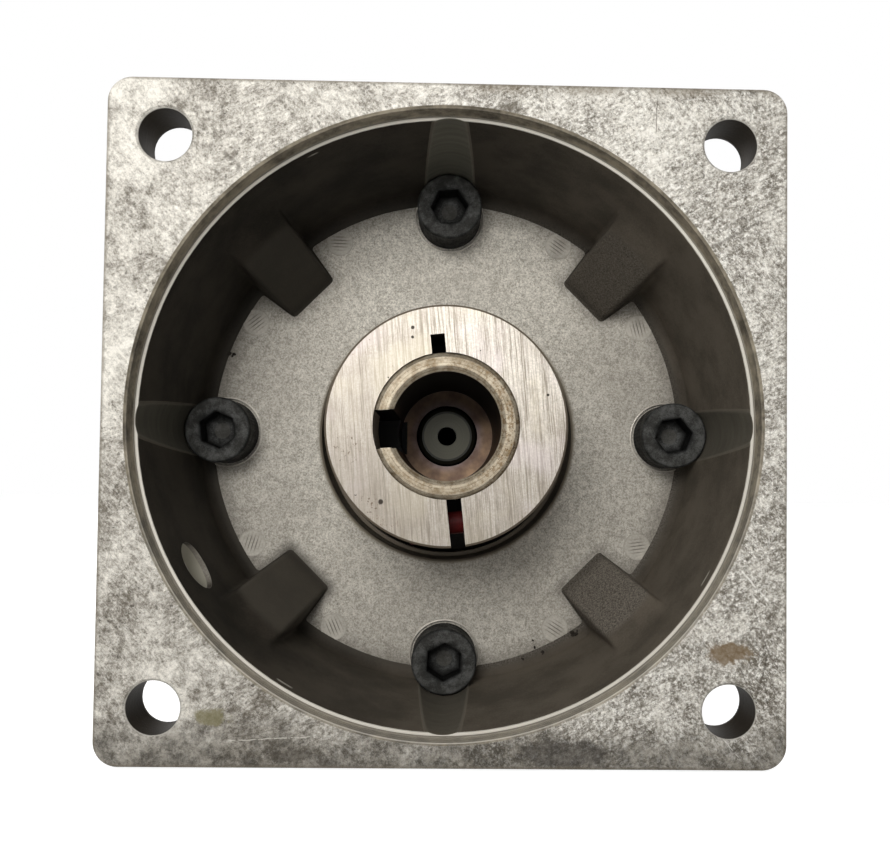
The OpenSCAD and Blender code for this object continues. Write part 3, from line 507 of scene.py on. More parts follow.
@dataclass(frozen=True)
class AdapterFinish(Finish):
    """The motor adapter: a stained milled face, a bright turned pilot and ledge, cast floor and outside."""

    face_mm: float = 188.1
    ledge_mm: float = 4
    pilot_r: float = 65
    mouth_r: float = 64
    hole_at: float = 58.34
    foot_r: float = 49.4
    foot_w: float = 13

    def write(self, recipe: Recipe) -> bpy.types.Material:
        """Writes each region by its depth below the motor face and its distance from the shaft."""
        depth = recipe.along + self.face_mm
        on_face = depth.below(0.25, 0.45)
        flecks = recipe.noise(380, 9, 0.8)
        clouds = recipe.noise(42, 5, 0.6)
        face = self.stained(recipe, self.milled(recipe, flecks, clouds), flecks)
        colour = recipe.mix(on_face, self.cast(recipe, depth, clouds), face)
        rings = recipe.noise(1, 2, 0.6, at=recipe.rings(5200))
        turned = recipe.mix(rings.step(0.4, 0.6), tone(122, 116, 104), tone(228, 223, 212))
        at_pilot = depth.band(0.3, self.ledge_mm + 0.3, 0.1) * recipe.reach.band(
            self.mouth_r - 0.2, self.pilot_r + 1, 0.1)
        colour = self.walls(recipe, depth, recipe.mix(at_pilot, colour, turned))
        worn, rounded = recipe.edges(0.3)
        colour = recipe.mix(worn * 0.3, colour, tone(206, 201, 190))
        recipe.relief(recipe.blend(on_face, recipe.noise(1500, 3, 0.7), flecks * 0.3), 0.09, rounded)
        bright = recipe.either(on_face, at_pilot)
        return recipe.finish(colour, recipe.blend(bright, 0.66, 0.6), recipe.blend(bright, 0.1, 0.22),
                             self.gloss)

    def milled(self, recipe: Recipe, flecks: Field, clouds: Field) -> Field:
        """Writes the milled face: metal under a patina of flecks, clouds and strokes, with fine painted
        glints and painted shade.
        """
        strokes = recipe.blend(recipe.noise(36, 4, 0.6).step(0.46, 0.54),
                               recipe.brushed((520, 300, 1700), 28, 4, 0.75),
                               recipe.brushed((520, 300, 1700), -48, 4, 0.75))
        # Painted shade and light: the patina darkens towards the bottom, the right and the top left corner,
        # and lightens on the left.
        grime_and_shade = recipe.low.step(-20, 75) * 0.034
        for across, start, end, share in ((recipe.right, 45, 70, 0.012), (recipe.right, -30, -60, -0.014),
                                          (recipe.up - recipe.right, 75, 115, 0.015)):
            grime_and_shade = grime_and_shade + across.step(start, end) * share
        patina = flecks * 0.52 + clouds * 0.3 + strokes * 0.2 + recipe.noise(2300, 3, 0.8) * 0.2 - grime_and_shade
        face = recipe.mix(patina.step(0.49, 0.725), self.dark, self.light)
        grit = recipe.noise(1250, 5, 0.85)
        rubbed = recipe.blend(recipe.right.step(-50, 40), 0.5, 1.6)
        # Painted glints: fine near-white specks, more of them on the right.
        glint = recipe.blend(0.25, grit, strokes).step(0.47, 0.62)
        face = recipe.mix(glint * rubbed * 0.6, face, tone(240, 237, 229))
        etched = recipe.blend(0.3, grit, strokes).below(0.36, 0.49)
        face = recipe.mix(etched * rubbed * 0.5, face, tone(92, 85, 74))
        specks = recipe.noise(1150, 2, 0.5).step(0.62, 0.69) * clouds.step(0.66, 0.42)
        return recipe.mix(specks * 0.7, face, tone(62, 55, 45))

    def stained(self, recipe: Recipe, face: Field, flecks: Field) -> Field:
        """Adds scratches, the dark lower strip, the rough outer edges and the stains of the face."""
        worn = recipe.noise(28, 3, 0.5).step(0.45, 0.62)
        rubbed = recipe.noise(24, 3, 0.5).step(0.48, 0.6)
        dark, light = tone(96, 89, 78), tone(236, 232, 224)
        for turn, length, width, rare, where, share, mark in (
                (38, 8, 0.13, 0.71, worn, 0.45, dark), (-52, 5, 0.13, 0.72, worn, 0.45, dark),
                (80, 6, 0.13, 0.72, worn, 0.45, dark), (-30, 9, 0.12, 0.74, rubbed, 0.4, light),
                (62, 12, 0.12, 0.74, rubbed, 0.4, light)):
            lines = recipe.scratches(turn, length, width, rare) * where
            face = recipe.mix(lines * share, face, mark)
        # A darker ragged strip along the bottom edge of the face.
        low_strip = recipe.low + (recipe.noise(75, 6, 0.65) - 0.5) * 28
        strip_tone = recipe.mix(flecks.step(0.4, 0.62), tone(52, 48, 41), tone(118, 112, 101))
        face = recipe.mix(low_strip.step(58.5, 68) * 0.72, face, strip_tone)
        top_line = recipe.up.step(67.2, 69.2) * recipe.right.step(0, 10)
        top_line = top_line * recipe.noise(90, 4, 0.6).step(0.42, 0.6)
        face = recipe.mix(top_line * 0.55, face, tone(112, 101, 82))
        for right, up, size, wide, share, stain in FACE_STAINS:
            face = recipe.mix(recipe.spot(right, up, size, 2.0, wide) * share, face, stain)
        for start, end, width, share, mark in FACE_STROKES:
            face = recipe.mix(recipe.stroke(start, end, width) * share, face, mark)
        outer = recipe.either(abs(recipe.right), abs(recipe.up)) + recipe.noise(320, 5, 0.7) * 1.2
        return recipe.mix(outer.step(69.9, 70.4) * 0.55, face, tone(104, 96, 82))

    def cast(self, recipe: Recipe, depth: Field, clouds: Field) -> Field:
        """Writes cast metal: fine pale grains, darker towards the bell's wall, round the ramps' feet, lower
        down and to the sides, in painted shade with some dirt by the wall.
        """
        sand = recipe.blend(0.25, recipe.noise(2000, 5, 0.9), recipe.noise(620, 4, 0.7))
        cast = recipe.mix(sand.step(0.37, 0.63), tone(142, 136, 124), tone(234, 228, 215))
        cast = recipe.mix(clouds.step(0.4, 0.7) * 0.25, cast, tone(158, 150, 138))
        inside = depth.band(3, 46, 0.1) * recipe.reach.below(65.2, 65.8)
        cast = recipe.mix(recipe.blend(inside, 0.8, 0.0), cast, tone(178, 174, 165))
        # Painted shade with some dirt: the floor darkens towards the bell's wall.
        cast = recipe.mix(recipe.reach.step(54, 62) * 0.66 * inside, cast, tone(84, 78, 69))
        # Painted shadow on the floor round each ramp's foot, deepest on the lower left.
        one, other, slant = abs(recipe.right), abs(recipe.up), math.sqrt(0.5)
        short = recipe.either(self.foot_r - (one + other) * slant, 0.0)
        beside = recipe.either(abs(one - other) * slant - self.foot_w / 2, 0.0)
        shade = recipe.blend((recipe.right + recipe.up).step(-10, -60), 0.42, 0.85)
        foot_shadow = recipe.length(short, beside).step(4.2, 0.2) * inside * shade
        cast = recipe.mix(foot_shadow, cast, tone(58, 54, 47))
        # Painted shade: the inside darkens lower down and towards the left and right.
        lower, aside = recipe.low.step(0, 60) * 0.24, one.step(20, 50) * 0.3
        return recipe.mix(recipe.either(lower, aside) * inside, cast, tone(92, 86, 77))

    def walls(self, recipe: Recipe, depth: Field, colour: Field) -> Field:
        """Adds the pilot wall in dirt and painted shade, and painted shade on the bell wall behind its skin,
        the bolt holes and the gap round the hub; the wrench hole stays pale.
        """
        reach, facing = recipe.reach, recipe.facing()
        # Dirt and painted shade on the pilot wall; the painted shade deepens towards the top.
        dirt_and_shade = recipe.mix(recipe.noise(180, 6, 0.7).step(0.27, 0.7), tone(60, 53, 41), tone(160, 150, 130))
        at_pilot = depth.band(0.02, self.ledge_mm + 0.3, 0.02) * facing.below(0.8, 0.95)
        pilot_wall = at_pilot * reach.band(64.4, 65.9, 0.1)
        pilot_wall = pilot_wall * recipe.blend(recipe.up.step(-50, 10), 0.6, 0.96)
        # Painted shade: the CAD bell wall behind the skin takes the dark shaded-wall tone.
        bell_wall = depth.band(4.3, 43.2, 0.1) * reach.step(48, 49) * reach.below(64.1, 64.3)
        bell_wall = bell_wall * facing.below(0.35, 0.8)
        # Painted shade: the bolt holes' walls are dark warm brown.
        from_hole = recipe.length(abs(recipe.right) - self.hole_at, abs(recipe.up) - self.hole_at)
        bolt_wall = depth.step(0.4, 0.6) * from_hole.below(5.6, 5.9)
        wrench_wall = depth.band(9, 24, 1) * reach.band(64.3, 66.9, 0.1)
        # Painted shade in the gap round the hub, below the floor opening.
        hub_gap = depth.step(42.8, 43.4) * reach.below(32.1, 33.4)
        for mask, paint in ((pilot_wall, dirt_and_shade), (bell_wall, tone(58, 53, 46)), (bolt_wall, tone(40, 33, 24)),
                            (wrench_wall, tone(150, 146, 132)), (hub_gap, tone(124, 114, 98))):
            colour = recipe.mix(mask, colour, paint)
        return colour


@dataclass(frozen=True)
class BrushedRingFinish(Finish):
    """The clamp ring: brushed lines straight across its face, pits and rust specks at its rim."""

    rim_r: float = 24.6

    def write(self, recipe: Recipe) -> bpy.types.Material:
        """Writes brush lines of three widths, soft tints, dark pits and brown specks."""
        lines = recipe.blend(0.6, recipe.brushed((1700, 900, 36), 5, 3, 0.7),
                             recipe.brushed((4400, 900, 120), 5.6, 3, 0.8))
        colour = recipe.mix(lines.step(0.38, 0.58), self.dark, self.light)
        # Painted glints along the brush lines.
        glints = recipe.brushed((2900, 900, 60), 4, 2, 0.7).step(0.56, 0.68)
        grain = recipe.noise(2700, 4, 0.85).step(0.6, 0.42)
        cloud = recipe.noise(150, 5, 0.6).step(0.42, 0.68)
        tints = recipe.noise(62, 3, 0.5)
        left = (recipe.right * -1.0).step(-6, 18)
        rusty = recipe.either(recipe.spot(-21.0, -5.5, 4.2, 1.6), recipe.spot(-16.5, -17.0, 2.6, 1.6))
        dots = recipe.noise(1300, 2, 0.5).step(0.58, 0.66) * rusty
        rust = recipe.noise(1400, 5, 0.75).step(0.56, 0.66) * recipe.noise(110, 3, 0.5).step(0.55, 0.7)
        rust = rust * recipe.reach.step(21, 25)
        # Besides grain, clouds, tints, rust and dots, this list holds the painted glints and painted shade
        # that darkens the lower part of the ring.
        for mask, share, paint in (
                (glints, 0.6, tone(238, 232, 222)), (grain, 0.32, tone(112, 102, 89)),
                (cloud, 0.3, tone(140, 129, 114)), (tints.step(0.5, 0.64), 0.3, tone(226, 212, 216)),
                (tints.step(0.48, 0.36), 0.3, tone(224, 214, 186)),
                (recipe.low.step(-12, 26), 0.5, tone(112, 104, 93)), (left, 0.5, tone(140, 131, 119)),
                (dots, 0.75, tone(84, 66, 48)), (rust, 0.7, tone(104, 76, 50))):
            colour = recipe.mix(mask * share, colour, paint)
        pits = recipe.noise(900, 2, 0.5).step(0.755, 0.78)
        for right, up, size in ((-7.6, 21.3, 0.5), (-7.6, 19.2, 0.38), (-14.0, -16.6, 0.7),
                                (22.0, 7.0, 0.35)):
            pits = recipe.either(pits, recipe.spot(right, up, size, 0.8))
        colour = recipe.mix(pits, colour, tone(46, 38, 30))
        side = recipe.facing().below(0.75, 0.95)
        colour = recipe.mix(side * 0.92, colour, tone(98, 87, 72))
        in_slit = side * abs(recipe.right).step(4.2, 3.5) * recipe.reach.below(self.rim_r, self.rim_r + 0.3)
        # Red thread lock in the slit's lower end, and painted shadow, near black, in its upper part.
        sealant_and_shadow = recipe.mix(recipe.up.step(-20.5, -22), tone(12, 8, 7), tone(60, 15, 14))
        colour = recipe.mix(in_slit, colour, sealant_and_shadow)
        recipe.relief(lines, 0.02)
        return recipe.finish(colour, recipe.blend(side, self.roughness, 0.6),
                             recipe.blend(side, self.metallic, 0.0), self.gloss)


@dataclass(frozen=True)
class ShaftFinish(Finish):
    """The hollow shaft: stained yellowish end, brown oil-blackened bore and coppery bore bottom, with
    painted shade at their tops, in the keyway and behind the clamp ring.
    """

    end_mm: float = 177.9
    bore_r: float = 12
    key_half_w: float = 4.25
    key_lean: float = -0.063

    def write(self, recipe: Recipe) -> bpy.types.Material:
        """Writes the end, the bore wall and its bottom by depth and distance from the shaft."""
        depth = recipe.along + self.end_mm
        marks = self.marks(recipe)
        share = recipe.blend(0.4, recipe.noise(260, 6, 0.7), marks).step(0.34, 0.62)
        colour = recipe.mix(share, self.dark, self.light)
        more_right = recipe.blend(recipe.right.step(4, 15), 0.5, 1.0)
        rust = recipe.noise(900, 5, 0.75).step(0.48, 0.59) * more_right
        pits = recipe.noise(1500, 3, 0.6).step(0.58, 0.64) * more_right
        colour = recipe.mix(rust * 0.75, colour, tone(104, 78, 44))
        colour = recipe.mix(pits * 0.7, colour, tone(66, 48, 30))
        in_bore = depth.step(1.2, 2.2) * recipe.reach.below(self.bore_r + 0.2, self.bore_r + 0.6)
        oil_film_and_shade = recipe.mix(recipe.noise(120, 4, 0.6).step(0.35, 0.65), tone(14, 9, 5), tone(78, 55, 36))
        # Painted shade: the bore wall turns near black towards the top.
        oil_film_and_shade = recipe.mix(recipe.up.step(-3, 7), oil_film_and_shade, tone(5, 3, 2))
        colour = recipe.mix(in_bore, colour, oil_film_and_shade)
        copper = recipe.mix(recipe.reach.step(7.6, 10.4), tone(206, 184, 182), tone(212, 176, 142))
        copper = recipe.mix(recipe.noise(190, 4, 0.6).step(0.3, 0.7), tone(150, 122, 106), copper)
        # Painted shade: the top of the bore bottom darkens.
        copper = recipe.mix(recipe.up.step(-1, 9) * 0.75, copper, tone(48, 34, 24))
        colour = recipe.mix(in_bore * recipe.facing().step(0.5, 0.8), colour, copper)
        worn, rounded = recipe.edges(0.3)
        colour = recipe.mix(worn * 0.35, colour, self.edge)
        # Painted shade: the keyway and the shaft's outside deeper than 8 mm from its end are near black.
        keyway = (recipe.up + recipe.right * self.key_lean).band(-self.key_half_w, self.key_half_w, 0.05)
        keyway = keyway * recipe.right.below(-10.6, -10.3) * depth.step(0.15, 0.3)
        behind = depth.step(8, 9) * recipe.reach.step(15.5, 15.9)
        colour = recipe.mix(recipe.either(keyway, behind), colour, tone(9, 8, 7))
        recipe.relief(marks, self.relief_mm, rounded)
        return recipe.finish(colour, recipe.blend(in_bore, self.roughness, 0.5),
                             recipe.blend(in_bore, self.metallic, 0.0), self.gloss)


@dataclass(frozen=True)
class SunFinish(Finish):
    """The sun gear: grey-green ground shank end with a black rim and a black centre hole."""

    end_mm: float = 137.7
    disc_r: float = 5.95
    rim_r: float = 7.4
    hole_r: float = 2.5

    def write(self, recipe: Recipe) -> bpy.types.Material:
        """Writes a smooth disc between a black rim and a black centre, and gear steel elsewhere."""
        near_end = (recipe.along + self.end_mm).below(3, 5)
        marks = self.marks(recipe)
        colour = recipe.mix(marks.step(0.3, 0.7), self.dark, self.light)
        disc = recipe.mix(recipe.noise(1, 3, 0.6, at=recipe.rings(1500)).step(0.3, 0.7),
                          tone(88, 87, 73), tone(102, 100, 85))
        disc = recipe.mix(recipe.reach.step(self.disc_r, self.disc_r + 0.2), disc, tone(50, 49, 41))
        disc = recipe.mix(1.0 - recipe.reach.band(self.hole_r, self.rim_r, 0.1), disc, tone(5, 4, 4))
        colour = recipe.mix(near_end, colour, disc)
        hole = recipe.reach.below(self.hole_r - 0.05, self.hole_r + 0.05)
        colour = recipe.mix(hole, colour, tone(3, 3, 2))
        recipe.relief(marks, self.relief_mm)
        return recipe.finish(colour, self.roughness, recipe.blend(near_end, self.metallic, 0.1), self.gloss)


@dataclass(frozen=True)
class BellFinish(Finish):
    """The bell's skin: dark smooth casting, rough ramps and paler milled arches over the screws."""

    face_mm: float = 188.1
    screw_ring: float = 56
    arch_r: float = 8.43

    def write(self, recipe: Recipe) -> bpy.types.Material:
        """Writes the wall, tells ramps by their distance from the shaft and arches from the screws."""
        depth = recipe.along + self.face_mm
        grain = recipe.noise(2600, 3, 0.7)
        share = recipe.blend(0.3, recipe.noise(1 / (self.cloud_mm * MM), 5, 0.6), grain).step(0.36, 0.62)
        # Painted light and shade: the right and lower wall take the lit tones, the left and upper wall
        # darker copies of them.
        lit_side = (recipe.right * 0.9 - recipe.up * 0.35).step(-30, 30)
        colour = recipe.mix(lit_side, recipe.mix(share, tone(31, 28, 23), tone(53, 48, 41)),
                            recipe.mix(share, self.dark, self.light))
        # Painted light: the ramps take a lighter tone lower down, where they face up.
        ramp, lower = recipe.reach.below(59.5, 61), recipe.low.step(-10, 20)
        rough_lit_side = ramp * recipe.right.step(-10, 20)
        colour = recipe.mix(ramp * 0.5, colour, recipe.mix(lower, tone(70, 66, 58), tone(84, 79, 70)))
        # Painted light and real roughness: the right-hand ramps get pitted grit in lighter tones, lighter
        # again lower down.
        pits = recipe.noise(2500, 5, 0.8).step(0.32, 0.68)
        grit = recipe.mix(lower, tone(102, 95, 85), tone(134, 126, 115))
        colour = recipe.mix(rough_lit_side * 0.85, colour, recipe.mix(pits, tone(50, 46, 40), grit))
        one, other = abs(recipe.right), abs(recipe.up)
        away = recipe.length(recipe.math("MINIMUM", one, other), recipe.either(one, other) - self.screw_ring)
        arch = away.below(self.arch_r, self.arch_r + 0.12)
        milled = recipe.mix(recipe.brushed((60, 700, 60), 0, 2, 0.5).step(0.3, 0.7),
                            tone(104, 102, 91), tone(118, 116, 104))
        shown = recipe.blend(recipe.up.step(-20, 50), 0.3, 0.85)
        colour = recipe.mix(arch * shown, colour, milled)
        rim = away.band(self.arch_r + 0.02, self.arch_r + 0.2, 0.08)
        colour = recipe.mix(rim * 0.5, colour, tone(120, 114, 102))
        # Painted glints: three small bright spots on the wall just below the ledge.
        for right, up, top, bottom in ((-28.3, 55.4, 5.5, 5.9), (-32.8, -54.2, 5.5, 6.2),
                                       (55.5, -32.0, 6.0, 6.4)):
            glint = recipe.spot(right, up, 2.2, 0.6) * depth.band(top, bottom, 0.1)
            colour = recipe.mix(glint * 0.7, colour, tone(190, 185, 172))
        # Painted shade: the wall darkens where it meets the floor.
        colour = recipe.mix(depth.step(39.5, 43.4) * 0.35, colour, tone(34, 31, 27))
        recipe.relief(recipe.blend(rough_lit_side, grain * 0.3, recipe.noise(1100, 4, 0.75)), 0.2)
        return recipe.finish(colour, recipe.blend(arch, 0.7, 0.5), recipe.blend(arch, 0.0, 0.3), self.gloss)


# right, up, radius, width over height, share and tone of each stain on the milled face
FACE_STAINS: tuple[tuple[float, float, float, float, float, Colour], ...] = (
    (58.4, -46.2, 2.6, 2.2, 0.85, tone(110, 90, 62)), (-46.3, -60.0, 1.9, 2.0, 0.75, tone(118, 112, 80)),
    (12.0, 64.9, 2.0, 1.6, 0.6, tone(90, 84, 72)), (30.4, 55.9, 1.2, 1.0, 0.7, tone(60, 54, 46)),
    (25.0, -67.0, 3.4, 3.4, 0.55, tone(60, 56, 52)), (-30.0, -67.5, 1.6, 3.0, 0.5, tone(66, 60, 52)))
# start, end, width, share and tone of each long scratch on the milled face
FACE_STROKES: tuple[tuple[tuple[float, float], tuple[float, float], float, float, Colour], ...] = (
    ((43.0, 67.0), (42.6, 61.0), 0.16, 0.7, tone(76, 68, 56)),
    ((36.8, 61.4), (38.0, 56.6), 0.14, 0.5, tone(92, 84, 72)),
    ((54.5, 36.8), (63.8, 42.2), 0.5, 0.5, tone(86, 80, 72)),
    ((51.8, -45.6), (52.0, -65.0), 0.14, 0.6, tone(82, 74, 62)),
    ((60.6, -49.8), (63.8, -57.0), 0.18, 0.6, tone(70, 62, 52)),
    ((-44.0, -64.4), (-20.4, -59.8), 0.16, 0.5, tone(86, 79, 68)),
    ((-42.4, -64.6), (-27.0, -63.8), 0.14, 0.6, tone(228, 223, 212)),
    ((-33.8, -57.8), (-32.4, -59.4), 0.3, 0.7, tone(74, 66, 54)),
    ((-46.0, 54.4), (-43.2, 51.4), 0.9, 0.55, tone(80, 74, 64)),
    ((48.0, -40.0), (58.0, -35.2), 0.14, 0.5, tone(84, 76, 64)),
    ((63.4, -37.8), (66.7, -47.2), 0.26, 0.6, tone(78, 70, 60)),
    ((65.9, -47.2), (63.8, -55.0), 0.3, 0.6, tone(70, 63, 54)),
    ((57.2, -35.1), (62.4, -33.9), 0.22, 0.55, tone(84, 77, 66)),
    ((61.0, -30.0), (66.0, -35.5), 0.26, 0.7, tone(240, 237, 230)),
    ((52.0, -58.0), (60.0, -67.0), 0.16, 0.5, tone(232, 228, 220)),
    ((64.0, 38.0), (66.5, 30.0), 0.2, 0.6, tone(238, 234, 226)),
    ((-66.0, 60.0), (-58.0, 66.0), 0.18, 0.4, tone(90, 83, 72)))

CAST_WALL = BellFinish("cast_wall", "cast_aluminium", tone(98, 90, 79), tone(74, 68, 59), cloud_mm=14,
                       gloss=0.12)
CAST_MARK = Finish("cast_mark", "cast_aluminium", tone(204, 198, 186), tone(146, 140, 129), 0.1, 0.6,
                   Grain.CAST, 0.45, 0.06, 6, edge_share=0.0, edge=tone(216, 210, 198),
                   grime_and_shade=tone(66, 60, 51), gloss=0.25)
BARE_RIM = Finish("bare_rim", "cast_aluminium", tone(214, 208, 196), tone(160, 153, 141), 0.5, 0.42,
                  Grain.CAST, 0.3, 0.02, 5, edge_share=0.2)
CAST_HOUSING = Finish("cast_housing", "housing_casting", tone(168, 164, 156), tone(140, 136, 129), 0.3,
                      0.55, Grain.CAST, 0.6, 0.1, 12, 0.0, 1.0, gloss=0.3)
ADAPTER = AdapterFinish("adapter", "cast_aluminium", tone(226, 221, 210), tone(100, 93, 82), gloss=0.25)
# The turned plate takes painted shade inside 33 mm, in the gap round the hub.
PLATE = Finish("turned_plate", "turned_aluminium", tone(180, 178, 172), tone(150, 147, 140), 0.55, 0.45,
               cloud_low=0.05, cloud_high=0.95, grime_and_shade=tone(104, 95, 81), shaded_within_mm=33)
RING_CASE = Finish("ring_case", "housing_steel", tone(154, 153, 149), tone(108, 106, 101), 0.7, 0.42,
                   Grain.TURNED, 0.5, 0.03, 10, 0.05, 0.95)
BLACK_OXIDE = Finish("black_oxide", "black_oxide", tone(88, 88, 86), tone(42, 42, 40), 0.0, 0.5,
                     Grain.CAST, 0.22, 0.02, 2.5, 0.4, 0.68, edge=tone(96, 93, 86), edge_mm=0.2,
                     edge_share=0.3, grime_and_shade=tone(3, 3, 3), gloss=0.05)
CRUMB = Finish("old_crumbs", "cast_aluminium", tone(58, 51, 42), tone(18, 16, 13), 0.0, 0.7, Grain.CAST,
               0.2, 0.05, 1, edge_share=0.0, gloss=0.2)
RUBBER = Finish("nitrile", "nitrile", tone(30, 27, 24), tone(16, 14, 12), 0.0, 0.5, Grain.TURNED, 0.4,
                0.02, 5, edge=tone(40, 36, 32), edge_share=0.3, gloss=0.08)
SPRING = Finish("spring_steel", "spring_steel", tone(92, 90, 88), tone(52, 50, 49), 0.85, 0.35)
BEARING = Finish("bearing_steel", "bearing_steel", tone(206, 205, 202), tone(166, 165, 162), 0.95, 0.2,
                 Grain.TURNED, 0.2, 0.006)
BRASS = Finish("pressed_brass", "pressed_brass", tone(196, 160, 92), tone(146, 112, 58), 0.9, 0.34,
               edge=tone(222, 196, 130))
BRONZE = Finish("bronze", "bronze", tone(184, 142, 92), tone(138, 98, 58), 0.85, 0.36,
                edge=tone(214, 178, 124))
SHAFT = ShaftFinish("stained_shaft", "worn_shaft_steel", tone(182, 171, 151), tone(112, 99, 78), 0.4,
                    0.42, Grain.TURNED, 0.35, 0.015, gloss=0.12)
OUTPUT_SHAFT = Finish("output_steel", "gear_steel", tone(172, 171, 168), tone(146, 144, 140), 0.7, 0.36,
                      Grain.TURNED, 0.25, 0.01, 8, 0.0, 1.0)
CLAMP = BrushedRingFinish("brushed_ring", "brushed_ring_steel", tone(224, 216, 204), tone(134, 124, 110),
                          0.4, 0.42, gloss=0.3)
RED_SCREW = Finish("threadlocked_screw", "threadlocked_screw", tone(78, 16, 15), tone(34, 8, 7), 0.0, 0.5,
                   Grain.CAST, 0.3, 0.01, 3, edge=tone(64, 18, 16), edge_share=0.3, gloss=0.08)
SUN = SunFinish("sun_steel", "gear_steel", tone(176, 176, 172), tone(128, 127, 122), 0.85, 0.3,
                Grain.TURNED, 0.3, 0.008, gloss=0.2)
GEAR = Finish("gear_steel", "gear_steel", tone(178, 178, 176), tone(126, 125, 122), 0.9, 0.3,
              Grain.TURNED, 0.3, 0.01)

NODE_FINISHES: dict[str, Finish] = {
    "motor_adapter": ADAPTER, "input_plate": PLATE, "ring_gear": RING_CASE, "output_housing": CAST_HOUSING,
    "hollow_shaft": SHAFT, "clamp_ring": CLAMP, "clamp_screw": RED_SCREW, "sun_gear": SUN,
    "planet_carrier": OUTPUT_SHAFT, "thrust_washers": BRONZE, "bearing_spacer": GEAR, "planet_pins": BEARING,
    **dict.fromkeys(("plate_screws", "housing_screws", "adapter_screws", "oil_plugs"), BLACK_OXIDE),
    **dict.fromkeys(("input_seal", "output_seal", "input_o_ring", "output_o_ring"), RUBBER),
    **dict.fromkeys((seat + "_circlip" for seat in ("input_race", "front_race", "input_shaft",
                                                    "output_shaft")), SPRING),
    **dict.fromkeys((side + "_cage" for side in ("input", "front", "rear")), BRASS),
    **dict.fromkeys((side + part for side in ("input", "front", "rear")
                     for part in ("_outer_race", "_inner_race", "_balls")), BEARING),
    **dict.fromkeys((f"needles_{i}" for i in (1, 2, 3)), BEARING),
    **dict.fromkeys((f"planet_gear_{i}" for i in (1, 2, 3)), GEAR),
}


